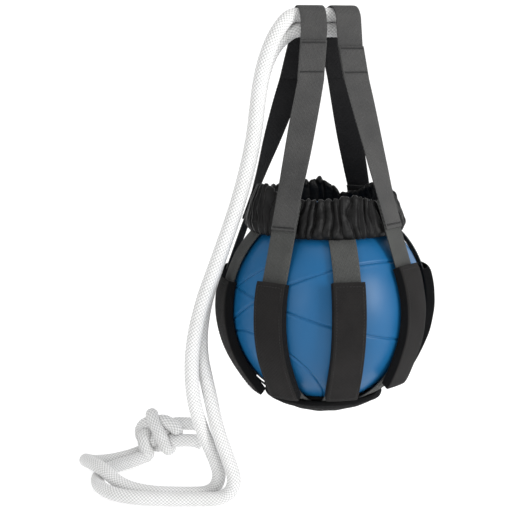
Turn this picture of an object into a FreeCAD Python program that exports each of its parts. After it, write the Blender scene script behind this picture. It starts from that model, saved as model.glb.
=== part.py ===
import FreeCAD, Part
import math
import os
import Sketcher

# Webbing ball bag with a filled ball inside and a doubled rope through its two top loops.
# Millimetres, +Z up. The origin is where the loops hang on the rope, and the ball is below it.
# A direction round the bag is an azimuth: 0 faces -Y and positive turns towards +X.

DRIVING_SIZES = {
    "ball_drop": 315.5,         # from the hanging point down to the centre of the ball
    "ball_radius": 115.0,
    "shell_wall": 5.0,
    "filling_gap": 0.1,
    "plug_radius": 8.0,
    "plug_gap": 0.05,           # round the plug
    "plug_sunk": 0.5,           # how far the plug's outer end is sunk
    "web_width": 30.0,
    "web_thick": 2.0,
    "web_inner": 117.3,         # radii here are from the centre of the ball
    "web_outer": 119.3,
    "web_low": -65.0,           # latitudes on the ball, degrees
    "web_high": 46.5,
    "web_leave": 20.0,          # where a hanging arm leaves the ball, along its tangent
    "web_run": 90.0,
    "sleeve_width": 36.0,
    "sleeve_inner": 115.7,
    "sleeve_outer": 127.0,
    "sleeve_low": -49.0,
    "sleeve_high": 17.0,
    "cavity_width": 33.0,
    "cavity_inner": 117.1,
    "cavity_outer": 125.6,
    "cavity_over": 3.0,         # how far the cutting outline passes each sleeve end, degrees
    "pad_width": 32.0,
    "pad_inner": 119.9,
    "pad_outer": 125.4,
    "pad_low": -47.0,
    "pad_high": 15.0,
    "base_inner": 120.5,
    "base_outer": 127.0,
    "base_edge": -57.0,
    "base_pad_inner": 122.1,
    "base_pad_outer": 125.4,
    "base_pad_edge": -60.0,
    "lining_inner": 115.4,
    "lining_outer": 117.2,
    "lining_edge": -58.0,
    "tape_inner": 117.6,
    "tape_outer": 119.8,
    "tape_low": 47.6,
    "tape_high": 51.4,
    "rope_diameter": 16.0,
    "rope_offset": 8.1,         # each strand's centre above or below the hanging point
    "loop_inner": 16.9,
    "loop_splay": 10.0,         # how far each side of a loop leans outwards, degrees
    "loop_end": -62.0,
    "bight_exit": -29.0,
    "bight_turn": 17.0,
}

# The rope runs through the loops along this direction, turned from +X about Z. Each loop has its
# place along the rope, its own turn, and the height above which its straps hang square to the rope.
ROPE_YAW = 16.0
LOOPS = {
    "left": {"along": -20.6, "yaw": 13.0, "square_above": -8.0},
    "right": {"along": 18.0, "yaw": 20.0, "square_above": -25.0},
}

# Every second arm rises to a hanging strap and the others end under the collar. A strap drifts
# along its loop by its lean, and is sewn to the loop at two tack heights and to its arm at a third.
ARM_AZIMUTHS = [-106.0, -71.5, -32.0, 9.5, 50.5, 97.0, 148.0, 203.0]
SLEEVE_SLIDES = [-0.5, -1.5, 2.0, 3.5, 9.0, 1.5, 0.5, 0.0]      # up along each arm, degrees
STRAPS = {
    "strap_back_left": {
        "azimuth": -106.0, "loop": "left", "side": 1, "lean": 0.2, "face": 74.0, "top": -19.5,
        "tacks": (-23.0, -57.0, -219.0),
    },
    "strap_front_left": {
        "azimuth": -32.0, "loop": "left", "side": -1, "lean": 0.12, "face": -32.0, "top": -19.5,
        "tacks": (-22.0, -53.5, -219.0),
    },
    "strap_front_right": {
        "azimuth": 50.5, "loop": "right", "side": -1, "lean": -0.12, "face": 50.5, "top": -26.0,
        "tacks": (-28.5, -54.5, -217.5),
    },
    "strap_back_right": {
        "azimuth": 148.0, "loop": "right", "side": 1, "lean": -0.3, "face": -32.0, "top": -26.0,
        "tacks": (-33.0, -57.0, -219.0),
    },
}
STRAP_LAP_END = -62.0
STRAP_JOIN_TOP = -190.0
STRAP_JOIN_END = -222.0
STRAP_TWIST_STEPS = 6
SEWN_GAP = 0.05

TACK_WIDTH = 26.0
TACK_HEIGHT = 2.0
TACK_THICK = 0.5

# Collar wall section, as radius from the bag's axis and height.
COLLAR_WALL = [
    (85.6, -230.8), (88.1, -228.3), (77.6, -189.5), (70.6, -189.5), (74.9, -215.8), (81.8, -227.2),
]
ELASTIC_RING = {"ring_radius": 74.1, "height": -190.5, "cord_radius": 2.2, "gap": 0.1}

# Rope routes from the loops to the knot. The first strand leaves above the other.
FRONT_ROUTE = [
    (-27.9, -8, 8.1), (-38.3, -11, 8.1), (-46, -19, 3.2), (-54.5, -27.5, -7.5), (-63, -34.5, -23),
    (-70, -39, -43), (-75.2, -42, -66), (-78, -44, -90), (-83, -49, -132.5), (-98, -55, -192.5),
    (-119, -61, -251.5), (-141, -63, -310.5), (-152, -60, -367.5), (-150, -52, -420.5),
    (-140, -39, -461.5), (-127, -28, -496.5), (-120, -22, -522.5), (-131, -20, -542.5),
    (-160, -22, -542.5), (-205, -19, -542.5), (-238, -6, -538.5), (-262, 16, -526),
    (-281, 40, -526), (-292, 63, -530.5), (-283, 85, -541.5), (-261, 94, -542.5),
    (-237, 100, -538.5), (-218, 106, -532.5),
]
REAR_ROUTE = [
    (-27.9, -8, -8.1), (-36.2, -10.4, -8.1), (-45.5, -10.5, -14), (-55.5, -12.5, -23), (-64, -16, -36.5),
    (-71, -20.5, -56), (-76, -25, -84), (-82, -31, -137), (-97, -37.5, -194.5),
    (-117, -43.5, -251.5), (-137, -46, -308.5), (-143, -44, -362.5), (-132, -43, -412.5),
    (-123, -45, -457.5), (-110, -42, -494.5), (-102, -39, -523.5), (-115, -38, -542.5),
    (-147, -40, -542.5), (-192, -40, -542.5), (-234, -32, -542.5), (-262, -8, -542.5),
    (-272, 24, -542.5), (-268, 54, -542.5), (-252, 74, -542.5), (-232, 82, -539.5),
    (-214, 88, -533.5),
]
KNOT_CENTRE = (-200.0, 98.0, -525.5)
KNOT_RADIUS = 25.0
TAILS = {
    "rope_tail_front": [(-186.0, 92.0, -523.5), (-152.0, 90.0, -515.5)],
    "rope_tail_rear": [(-186.0, 109.0, -519.5), (-153.0, 112.0, -507.5)],
}
ARC_SHARE = 0.45

doc = FreeCAD.newDocument("ball_bag")
sheet = doc.addObject("Spreadsheet::Sheet", "sizes")
for row, (alias, value) in enumerate(DRIVING_SIZES.items(), start=1):
    sheet.set(f"A{row}", alias)
    sheet.set(f"B{row}", str(value))
    sheet.setAlias(f"B{row}", alias)
doc.recompute()

size = DRIVING_SIZES
parts = []


def unit(angle):
    turn = math.radians(angle)
    return math.cos(turn), math.sin(turn)


def about_z(angle, x=0.0, y=0.0, z=0.0):
    turn = FreeCAD.Rotation(FreeCAD.Vector(0, 0, 1), angle)
    return FreeCAD.Placement(FreeCAD.Vector(x, y, z), turn)


def facing(azimuth):
    """Turn a piece drawn in the XZ plane so that its outward side looks along the azimuth."""
    return about_z(azimuth - 90.0)


def loop_spot(side, along, across):
    """Row-frame x and y of a point given from a loop's centre, along its width and square to it."""
    rope_x, rope_y = unit(ROPE_YAW)
    c, s = unit(LOOPS[side]["yaw"])
    place = LOOPS[side]["along"]
    return place * rope_x + along * c - across * s, place * rope_y + along * s + across * c


def new_body(label):
    body = doc.addObject("PartDesign::Body", label)
    body.Label = label
    parts.append(body)
    return body


def new_sketch(body, name, role):
    sketch = body.newObject("Sketcher::SketchObject", name)
    plane = [f for f in body.Origin.OriginFeatures if f.Role == role][0]
    sketch.AttachmentSupport = [(plane, "")]
    sketch.MapMode = "FlatFace"
    return sketch


def bind(sketch, index, name, expression):
    sketch.renameConstraint(index, name)
    sketch.setExpression(f"Constraints.{name}", expression)


def sketch_arc(centre, radius, start, end):
    circle = Part.Circle(centre, FreeCAD.Vector(0, 0, 1), radius)
    return Part.ArcOfCircle(circle, math.radians(start), math.radians(end))


def pin_centre(sketch, arcs):
    """Fix the arcs' shared centre on the vertical axis, the ball's drop below the origin."""
    first = arcs[0]
    for other in arcs[1:]:
        sketch.addConstraint(Sketcher.Constraint("Coincident", first, 3, other, 3))
    sketch.addConstraint(Sketcher.Constraint("PointOnObject", first, 3, -2))
    index = sketch.addConstraint(
        Sketcher.Constraint("DistanceY", first, 3, -1, 1, size["ball_drop"])
    )
    bind(sketch, index, "drop", "sizes.ball_drop")


def bind_radius(sketch, arc, name, alias):
    index = sketch.addConstraint(Sketcher.Constraint("Radius", arc, size[alias]))
    bind(sketch, index, name, f"sizes.{alias}")


def polar(centre, radius, latitude):
    c, s = unit(latitude)
    return centre + FreeCAD.Vector(radius * c, radius * s, 0)


def radial_cap(sketch, line, arc, name, latitude, expression):
    """Keep a cap line on a radius of the arcs at the given latitude."""
    sketch.addConstraint(Sketcher.Constraint("PointOnObject", arc, 3, line))
    index = sketch.addConstraint(Sketcher.Constraint("Angle", line, math.radians(latitude)))
    bind(sketch, index, name, expression)


def ball_band(body, name, inner, outer, low, high, over=None):
    """Sketch of a band that follows the ball between two latitudes, in the XZ plane."""
    sketch = new_sketch(body, name, "XZ_Plane")
    centre = FreeCAD.Vector(0, -size["ball_drop"], 0)
    extra = size[over] if over else 0.0
    lowest, highest = size[low] - extra, size[high] + extra
    bottom = polar(centre, size[inner], lowest), polar(centre, size[outer], lowest)
    top = polar(centre, size[inner], highest), polar(centre, size[outer], highest)
    sketch.addGeometry(sketch_arc(centre, size[inner], lowest, highest))
    sketch.addGeometry(sketch_arc(centre, size[outer], lowest, highest))
    sketch.addGeometry(Part.LineSegment(*bottom))
    sketch.addGeometry(Part.LineSegment(*top))
    for first, start, second, end in [(0, 1, 2, 1), (1, 1, 2, 2), (0, 2, 3, 1), (1, 2, 3, 2)]:
        sketch.addConstraint(Sketcher.Constraint("Coincident", first, start, second, end))
    pin_centre(sketch, [0, 1])
    bind_radius(sketch, 0, "inner", inner)
    bind_radius(sketch, 1, "outer", outer)
    past = f" - sizes.{over} * 1 deg" if over else ""
    radial_cap(sketch, 2, 0, "low", lowest, f"sizes.{low} * 1 deg{past}")
    radial_cap(sketch, 3, 0, "high", highest, f"sizes.{high} * 1 deg{past.replace('-', '+')}")
    return sketch


def pad_across(body, sketch, kind, width):
    """Give a sketch its width, half on each side of its plane."""
    feature = body.newObject(f"PartDesign::{kind}", f"{body.Name}_{kind}")
    feature.Profile = sketch
    feature.SideType = "Symmetric"
    feature.setExpression("Length", f"sizes.{width}")
    return feature


def revolve(body, sketch):
    feature = body.newObject("PartDesign::Revolution", f"{body.Name}_turn")
    feature.Profile = sketch
    feature.ReferenceAxis = (sketch, ["V_Axis"])
    feature.Angle = 360.0
    return feature


def make_ball():
    """Hollow moulded shell, closed by a plug at the back, round a solid filling."""
    centre = FreeCAD.Vector(0, 0, -size["ball_drop"])
    outer = doc.addObject("Part::Sphere", "shell_outer")
    outer.setExpression("Radius", "sizes.ball_radius")
    inner = doc.addObject("Part::Sphere", "shell_inner")
    inner.setExpression("Radius", "sizes.ball_radius - sizes.shell_wall")
    hollow = doc.addObject("Part::Cut", "shell_hollow")
    hollow.Base, hollow.Tool = outer, inner
    to_back = FreeCAD.Rotation(FreeCAD.Vector(1, 0, 0), -90)
    hole = doc.addObject("Part::Cylinder", "plug_hole")
    hole.setExpression("Radius", "sizes.plug_radius")
    hole.setExpression("Height", "sizes.ball_radius + sizes.shell_wall")
    hole.Placement = FreeCAD.Placement(FreeCAD.Vector(0, 0, 0), to_back)
    shell = doc.addObject("Part::Cut", "ball_shell")
    shell.Base, shell.Tool = hollow, hole
    filling = doc.addObject("Part::Sphere", "ball_filling")
    filling.setExpression("Radius", "sizes.ball_radius - sizes.shell_wall - sizes.filling_gap")
    plug = doc.addObject("Part::Cylinder", "ball_plug")
    plug.setExpression("Radius", "sizes.plug_radius - sizes.plug_gap")
    plug.setExpression("Height", "sizes.shell_wall - sizes.plug_sunk")
    plug_start = FreeCAD.Vector(0, size["ball_radius"] - size["shell_wall"], 0)
    plug.Placement = FreeCAD.Placement(centre + plug_start, to_back)
    shell.Placement = FreeCAD.Placement(centre, FreeCAD.Rotation())
    filling.Placement = FreeCAD.Placement(centre, FreeCAD.Rotation())
    for piece in (shell, filling, plug):
        piece.Label = piece.Name
        parts.append(piece)


def rising_arm_sketch(body):
    """Arm that follows the ball, then leaves it along a tangent towards its hanging strap."""
    sketch = new_sketch(body, f"{body.Name}_side", "XZ_Plane")
    centre = FreeCAD.Vector(0, -size["ball_drop"], 0)
    low, leave, run = size["web_low"], size["web_leave"], size["web_run"]
    c, s = unit(leave)
    rise = FreeCAD.Vector(-s * run, c * run, 0)
    radii = [size["web_inner"], size["web_outer"]]
    feet = [polar(centre, r, low) for r in radii]
    turns = [polar(centre, r, leave) for r in radii]
    tops = [p + rise for p in turns]
    for r in radii:
        sketch.addGeometry(sketch_arc(centre, r, low, leave))
    for p, q in zip(turns, tops):
        sketch.addGeometry(Part.LineSegment(p, q))
    sketch.addGeometry(Part.LineSegment(*feet))
    sketch.addGeometry(Part.LineSegment(*tops))
    for first, start, second, end in [(0, 1, 4, 1), (1, 1, 4, 2), (2, 2, 5, 1), (3, 2, 5, 2)]:
        sketch.addConstraint(Sketcher.Constraint("Coincident", first, start, second, end))
    sketch.addConstraint(Sketcher.Constraint("Tangent", 0, 2, 2, 1))
    sketch.addConstraint(Sketcher.Constraint("Tangent", 1, 2, 3, 1))
    sketch.addConstraint(Sketcher.Constraint("Perpendicular", 2, 5))
    pin_centre(sketch, [0, 1])
    bind_radius(sketch, 0, "inner", "web_inner")
    bind_radius(sketch, 1, "outer", "web_outer")
    radial_cap(sketch, 4, 0, "low", low, "sizes.web_low * 1 deg")
    angle = sketch.addConstraint(Sketcher.Constraint("Angle", 2, math.radians(90.0 + leave)))
    bind(sketch, angle, "leave", "sizes.web_leave * 1 deg + 90 deg")
    sketch.addConstraint(Sketcher.Constraint("Parallel", 2, 3))
    length = sketch.addConstraint(Sketcher.Constraint("Distance", 2, run))
    bind(sketch, length, "run", "sizes.web_run")
    return sketch


def make_arm(number, azimuth, rises):
    body = new_body(f"arm_{number}")
    if rises:
        sketch = rising_arm_sketch(body)
    else:
        name = f"{body.Name}_side"
        sketch = ball_band(body, name, "web_inner", "web_outer", "web_low", "web_high")
    pad_across(body, sketch, "Pad", "web_width")
    body.Placement = facing(azimuth)


def slid(azimuth, slide):
    """Facing an azimuth and moved along the arm by a turn about the centre of the ball."""
    turn = FreeCAD.Rotation(FreeCAD.Vector(0, -1, 0), slide)
    centre = FreeCAD.Vector(0, 0, -size["ball_drop"])
    return facing(azimuth).multiply(FreeCAD.Placement(FreeCAD.Vector(0, 0, 0), turn, centre))


def make_sleeve(number, azimuth, slide):
    """Open-ended fabric sleeve round the arm, with a foam pad between arm and outer face."""
    body = new_body(f"sleeve_{number}")
    side = ball_band(
        body, f"{body.Name}_side", "sleeve_inner", "sleeve_outer", "sleeve_low", "sleeve_high"
    )
    pad_across(body, side, "Pad", "sleeve_width")
    hollow = ball_band(
        body, f"{body.Name}_hollow", "cavity_inner", "cavity_outer", "sleeve_low", "sleeve_high",
        over="cavity_over",
    )
    pad_across(body, hollow, "Pocket", "cavity_width")
    body.Placement = slid(azimuth, slide)
    foam = new_body(f"sleeve_pad_{number}")
    foam_side = ball_band(
        foam, f"{foam.Name}_side", "pad_inner", "pad_outer", "pad_low", "pad_high"
    )
    pad_across(foam, foam_side, "Pad", "pad_width")
    foam.Placement = slid(azimuth, slide)


def cap_outline(sketch, inner, outer, edge):
    """Section of a round cap under the ball, from its edge latitude down to the axis."""
    centre = FreeCAD.Vector(0, -size["ball_drop"], 0)
    low = -90.0
    lines = [
        (polar(centre, size[inner], size[edge]), polar(centre, size[outer], size[edge])),
        (polar(centre, size[inner], low), polar(centre, size[outer], low)),
    ]
    sketch.addGeometry(sketch_arc(centre, size[inner], low, size[edge]))
    sketch.addGeometry(sketch_arc(centre, size[outer], low, size[edge]))
    for p, q in lines:
        sketch.addGeometry(Part.LineSegment(p, q))
    for first, start, second, end in [(0, 2, 2, 1), (1, 2, 2, 2), (0, 1, 3, 1), (1, 1, 3, 2)]:
        sketch.addConstraint(Sketcher.Constraint("Coincident", first, start, second, end))
    pin_centre(sketch, [0, 1])
    bind_radius(sketch, 0, "inner", inner)
    bind_radius(sketch, 1, "outer", outer)
    radial_cap(sketch, 2, 0, "edge", size[edge], f"sizes.{edge} * 1 deg")
    sketch.addConstraint(Sketcher.Constraint("PointOnObject", 3, 1, -2))
    sketch.addConstraint(Sketcher.Constraint("PointOnObject", 3, 2, -2))


def make_cap(label, inner, outer, edge):
    body = new_body(label)
    sketch = new_sketch(body, f"{label}_half", "XZ_Plane")
    cap_outline(sketch, inner, outer, edge)
    revolve(body, sketch)
    return body


def make_base():
    """Padded round base over the ends of the arms, with a lining between them and the ball."""
    cover = make_cap("base_cover", "base_inner", "base_outer", "base_edge")
    hollow = new_sketch(cover, "base_cover_hollow", "XZ_Plane")
    cap_outline(hollow, "base_pad_inner", "base_pad_outer", "base_pad_edge")
    groove = cover.newObject("PartDesign::Groove", "base_cover_Groove")
    groove.Profile = hollow
    groove.ReferenceAxis = (hollow, ["V_Axis"])
    groove.Angle = 360.0
    make_cap("base_pad", "base_pad_inner", "base_pad_outer", "base_pad_edge")
    make_cap("base_lining", "lining_inner", "lining_outer", "lining_edge")


def make_collar():
    """Gathered collar, its wall inside the hanging straps, with a ring of elastic in its rim."""
    body = new_body("collar")
    sketch = new_sketch(body, "collar_half", "XZ_Plane")
    points = [FreeCAD.Vector(r, z, 0) for r, z in COLLAR_WALL]
    rim_outer, rim_inner = points[2], points[3]
    rim_radius = (rim_outer.x - rim_inner.x) / 2.0
    middle = FreeCAD.Vector(rim_inner.x + rim_radius, rim_inner.y, 0)
    sketch.addGeometry(Part.LineSegment(points[0], points[1]))
    sketch.addGeometry(Part.LineSegment(points[1], points[2]))
    sketch.addGeometry(sketch_arc(middle, rim_radius, 0.0, 180.0))
    sketch.addGeometry(Part.LineSegment(points[3], points[4]))
    sketch.addGeometry(Part.LineSegment(points[4], points[5]))
    sketch.addGeometry(Part.LineSegment(points[5], points[0]))
    joins = [(0, 2, 1, 1), (1, 2, 2, 1), (2, 2, 3, 1), (3, 2, 4, 1), (4, 2, 5, 1), (5, 2, 0, 1)]
    for first, start, second, end in joins:
        sketch.addConstraint(Sketcher.Constraint("Coincident", first, start, second, end))
    channel = ELASTIC_RING["cord_radius"] + ELASTIC_RING["gap"]
    ring_centre = FreeCAD.Vector(ELASTIC_RING["ring_radius"], ELASTIC_RING["height"], 0)
    sketch.addGeometry(Part.Circle(ring_centre, FreeCAD.Vector(0, 0, 1), channel))
    revolve(body, sketch)
    elastic = doc.addObject("Part::Torus", "collar_elastic")
    elastic.Radius1 = ELASTIC_RING["ring_radius"]
    elastic.Radius2 = ELASTIC_RING["cord_radius"]
    elastic.Placement = about_z(0.0, z=ELASTIC_RING["height"])
    elastic.Label = "collar_elastic"
    parts.append(elastic)
    tape = new_body("collar_tape")
    side = ball_band(tape, "collar_tape_side", "tape_inner", "tape_outer", "tape_low", "tape_high")
    revolve(tape, side)


def splayed(radius, height):
    """Distance square to the rope of a strap face that leaves a loop of this radius."""
    c, s = unit(size["loop_splay"])
    return (radius - height * s) / c


def make_loop(side):
    """Short webbing piece over the rope, its two ends sewn inside the hanging straps."""
    body = new_body(f"loop_{side}")
    sketch = new_sketch(body, f"{body.Name}_side", "YZ_Plane")
    zero = FreeCAD.Vector(0, 0, 0)
    inner = size["loop_inner"]
    outer = inner + size["web_thick"]
    splay = size["loop_splay"]
    end = size["loop_end"]
    ends = {}
    for r in (inner, outer):
        sketch.addGeometry(sketch_arc(zero, r, splay, 180.0 - splay))
        start = polar(zero, r, splay)
        low = FreeCAD.Vector(splayed(r, end), end, 0)
        ends[r] = [(start, low), (FreeCAD.Vector(-start.x, start.y, 0), FreeCAD.Vector(-low.x, end, 0))]
    for r in (inner, outer):
        for p, q in ends[r]:
            sketch.addGeometry(Part.LineSegment(p, q))
    for k in (0, 1):
        sketch.addGeometry(Part.LineSegment(ends[inner][k][1], ends[outer][k][1]))
    for arc, right, left in [(0, 2, 3), (1, 4, 5)]:
        sketch.addConstraint(Sketcher.Constraint("Tangent", arc, 1, right, 1))
        sketch.addConstraint(Sketcher.Constraint("Tangent", arc, 2, left, 1))
    for first, second, cap in [(2, 4, 6), (3, 5, 7)]:
        sketch.addConstraint(Sketcher.Constraint("Coincident", first, 2, cap, 1))
        sketch.addConstraint(Sketcher.Constraint("Coincident", second, 2, cap, 2))
    sketch.addConstraint(Sketcher.Constraint("Coincident", 0, 3, -1, 1))
    sketch.addConstraint(Sketcher.Constraint("Coincident", 1, 3, -1, 1))
    bind_radius(sketch, 0, "inner", "loop_inner")
    index = sketch.addConstraint(Sketcher.Constraint("Radius", 1, outer))
    bind(sketch, index, "outer", "sizes.loop_inner + sizes.web_thick")
    pad_across(body, sketch, "Pad", "web_width")
    x, y = loop_spot(side, 0.0, 0.0)
    body.Placement = about_z(LOOPS[side]["yaw"], x, y)


def arm_face_radius(height):
    """Distance from the bag's axis of the outer face of a rising arm, at this height."""
    c, s = unit(size["web_leave"])
    return (size["web_outer"] - (height + size["ball_drop"]) * s) / c


def strap_station(strap, height):
    """Centre and facing of a hanging strap at a height: x, y, turn about Z, lean, outward."""
    splay, leave = size["loop_splay"], size["web_leave"]
    loop_face = size["loop_inner"] + size["web_thick"] + SEWN_GAP
    loop = LOOPS[strap["loop"]]
    if height >= STRAP_LAP_END:
        out = splayed(loop_face + size["web_thick"] / 2.0, height) * strap["side"]
        drift = strap["lean"] * (height - loop["square_above"])
        x, y = loop_spot(strap["loop"], drift, out)
        return x, y, loop["yaw"], splay
    if height <= STRAP_JOIN_TOP:
        out = arm_face_radius(height) + (SEWN_GAP + size["web_thick"] / 2.0) / unit(leave)[0]
        c, s = unit(strap["azimuth"] - 90.0)
        return out * c, out * s, strap["face"], leave
    top = strap_station(strap, STRAP_LAP_END)
    low = strap_station(strap, STRAP_JOIN_TOP)
    share = (STRAP_LAP_END - height) / (STRAP_LAP_END - STRAP_JOIN_TOP)
    return tuple(a + (b - a) * share for a, b in zip(top, low))


def strap_section(body, number, strap, height):
    """Level section across a strap, a rectangle as long as the webbing is wide."""
    x, y, turn, lean = strap_station(strap, height)
    sketch = new_sketch(body, f"{body.Name}_level_{number}", "XY_Plane")
    sketch.AttachmentOffset = about_z(turn, x, y, height)
    half = size["web_width"] / 2.0
    deep = size["web_thick"] / unit(lean)[0] / 2.0
    corners = [(-half, -deep), (half, -deep), (half, deep), (-half, deep)]
    for k in range(4):
        p, q = corners[k], corners[(k + 1) % 4]
        sketch.addGeometry(
            Part.LineSegment(FreeCAD.Vector(p[0], p[1], 0), FreeCAD.Vector(q[0], q[1], 0))
        )
    for k in range(4):
        sketch.addConstraint(Sketcher.Constraint("Coincident", k, 2, (k + 1) % 4, 1))
    for k in (0, 2):
        sketch.addConstraint(Sketcher.Constraint("Horizontal", k))
    for k in (1, 3):
        sketch.addConstraint(Sketcher.Constraint("Vertical", k))
    sketch.addConstraint(Sketcher.Constraint("Symmetric", 0, 1, 2, 1, -1, 1))
    width = sketch.addConstraint(Sketcher.Constraint("DistanceX", 0, 1, 0, 2, half * 2.0))
    bind(sketch, width, "width", "sizes.web_width")
    depth = sketch.addConstraint(Sketcher.Constraint("DistanceY", 1, 1, 1, 2, deep * 2.0))
    bind(sketch, depth, "depth", f"sizes.web_thick / cos({lean:.3f} deg)")
    return sketch


def make_strap(label, strap):
    """Hanging strap: flat on the loop, turning as it comes down, flat again on its arm."""
    body = new_body(label)
    gap = (STRAP_JOIN_TOP - STRAP_LAP_END) / STRAP_TWIST_STEPS
    heights = [strap["top"]]
    heights += [STRAP_LAP_END + gap * k for k in range(STRAP_TWIST_STEPS + 1)]
    heights += [STRAP_JOIN_END]
    sections = [strap_section(body, k, strap, z) for k, z in enumerate(heights)]
    loft = body.newObject("PartDesign::AdditiveLoft", f"{label}_loft")
    loft.Profile = sections[0]
    loft.Sections = sections[1:]
    loft.Ruled = True


def make_tacks():
    """Bars of stitching, two on each loop's lap and one on each arm's lap."""
    bars = []
    for label, strap in STRAPS.items():
        for level, height in enumerate(strap["tacks"]):
            x, y, turn, lean = strap_station(strap, height)
            away = size["web_thick"] / 2.0 + SEWN_GAP
            square = FreeCAD.Vector(*unit(turn + 90.0), 0)
            if square.dot(FreeCAD.Vector(x, y, 0)) < 0:
                square = square.negative()
            across = FreeCAD.Vector(*unit(turn), 0)
            c, s = unit(lean)
            normal = square * c + FreeCAD.Vector(0, 0, s)
            up = FreeCAD.Vector(0, 0, c) - square * s
            if across.cross(up).dot(normal) < 0:
                across = across.negative()
            frame = FreeCAD.Matrix(
                across.x, up.x, normal.x, 0, across.y, up.y, normal.y, 0,
                across.z, up.z, normal.z, 0, 0, 0, 0, 1,
            )
            centre = FreeCAD.Vector(x, y, height) + normal * away
            corner = centre - across * (TACK_WIDTH / 2.0) - up * (TACK_HEIGHT / 2.0)
            bar = doc.addObject("Part::Box", f"tack_{label}_{level}")
            bar.Length, bar.Width, bar.Height = TACK_WIDTH, TACK_HEIGHT, TACK_THICK
            bar.Placement = FreeCAD.Placement(corner, FreeCAD.Rotation(frame))
            bars.append(bar)
    group = doc.addObject("Part::Compound", "strap_tacks")
    group.Links = bars
    group.Label = "strap_tacks"
    parts.append(group)


def route_wire(points):
    """Straight runs joined by tangent arcs, each as large as its two runs allow."""
    corners = [FreeCAD.Vector(*p) for p in points]
    edges = []
    radii = []
    start = corners[0]
    for before, corner, after in zip(corners, corners[1:], corners[2:]):
        back, ahead = before - corner, after - corner
        cut = ARC_SHARE * min(back.Length, ahead.Length)
        turn = math.pi - back.getAngle(ahead)
        radius = cut / math.tan(turn / 2.0)
        back.normalize()
        ahead.normalize()
        enter, leave = corner + back * cut, corner + ahead * cut
        bisector = back + ahead
        bisector.normalize()
        middle = corner + bisector * (radius / math.cos(turn / 2.0) - radius)
        edges.append(Part.LineSegment(start, enter).toShape())
        edges.append(Part.Arc(enter, middle, leave).toShape())
        radii.append(radius)
        start = leave
    edges.append(Part.LineSegment(start, corners[-1]).toShape())
    return Part.Wire(edges), radii


def rope_tube(points):
    wire, radii = route_wire(points)
    first, second = FreeCAD.Vector(*points[0]), FreeCAD.Vector(*points[1])
    radius = size["rope_diameter"] / 2.0
    section = Part.Wire(Part.makeCircle(radius, first, second - first))
    return wire.makePipeShell([section], True, False), wire.Length, radii


def add_shape(label, shape):
    piece = doc.addObject("Part::Feature", label)
    piece.Shape = shape
    piece.Label = label
    piece.Placement = FreeCAD.Placement()
    parts.append(piece)


def make_rope():
    """Two strands and their tails, with sockets for them in the knot's outer shape."""
    strands = {}
    section_area = math.pi * size["rope_diameter"] ** 2 / 4.0
    for label, route in (("rope_leg_front", FRONT_ROUTE), ("rope_leg_rear", REAR_ROUTE)):
        shape, length, radii = rope_tube(route)
        strands[label] = shape
        share = shape.Volume / (section_area * length)
        print(label, "length", round(length, 1), "volume share", round(share, 4))
        print(label, "radii", [round(r) for r in radii])
    for label, (start, end) in TAILS.items():
        first, last = FreeCAD.Vector(*start), FreeCAD.Vector(*end)
        radius = size["rope_diameter"] / 2.0
        strands[label] = Part.makeCylinder(radius, (last - first).Length, first, last - first)
    knot = Part.makeSphere(KNOT_RADIUS, FreeCAD.Vector(*KNOT_CENTRE))
    for shape in strands.values():
        knot = knot.cut(shape)
    for label, shape in strands.items():
        add_shape(label, shape)
    add_shape("rope_knot", max(knot.Solids, key=lambda solid: solid.Volume))


def make_bight():
    """The rope's fold inside the loops: two level strands joined by a half turn."""
    body = new_body("rope_bight")
    spine = new_sketch(body, "bight_spine", "XZ_Plane")
    offset = size["rope_offset"]
    out, turn = size["bight_exit"], size["bight_turn"]
    centre = FreeCAD.Vector(turn, 0, 0)
    spine.addGeometry(
        Part.LineSegment(FreeCAD.Vector(out, offset, 0), FreeCAD.Vector(turn, offset, 0))
    )
    spine.addGeometry(sketch_arc(centre, offset, -90.0, 90.0))
    spine.addGeometry(
        Part.LineSegment(FreeCAD.Vector(turn, -offset, 0), FreeCAD.Vector(out, -offset, 0))
    )
    spine.addConstraint(Sketcher.Constraint("Tangent", 0, 2, 1, 2))
    spine.addConstraint(Sketcher.Constraint("Tangent", 1, 1, 2, 1))
    spine.addConstraint(Sketcher.Constraint("Horizontal", 0))
    spine.addConstraint(Sketcher.Constraint("Vertical", 0, 1, 2, 2))
    spine.addConstraint(Sketcher.Constraint("PointOnObject", 1, 3, -1))
    for name, kind, spot, value, source in [
        ("offset", "Radius", (1,), offset, "sizes.rope_offset"),
        ("turn", "DistanceX", (-1, 1, 1, 3), turn, "sizes.bight_turn"),
        ("exit", "DistanceX", (0, 1, -1, 1), -out, "-sizes.bight_exit"),
    ]:
        index = spine.addConstraint(Sketcher.Constraint(kind, *spot, value))
        bind(spine, index, name, source)
    ring = new_sketch(body, "bight_section", "YZ_Plane")
    ring.AttachmentOffset = about_z(0.0, z=out)
    ring.addGeometry(
        Part.Circle(
            FreeCAD.Vector(0, offset, 0), FreeCAD.Vector(0, 0, 1), size["rope_diameter"] / 2.0
        )
    )
    ring.addConstraint(Sketcher.Constraint("PointOnObject", 0, 3, -2))
    height = ring.addConstraint(Sketcher.Constraint("DistanceY", -1, 1, 0, 3, offset))
    bind(ring, height, "offset", "sizes.rope_offset")
    girth = ring.addConstraint(Sketcher.Constraint("Diameter", 0, size["rope_diameter"]))
    bind(ring, girth, "girth", "sizes.rope_diameter")
    pipe = body.newObject("PartDesign::AdditivePipe", "bight_pipe")
    pipe.Profile = ring
    pipe.Spine = (spine, ["Edge1", "Edge2", "Edge3"])
    body.Placement = about_z(ROPE_YAW)


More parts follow.
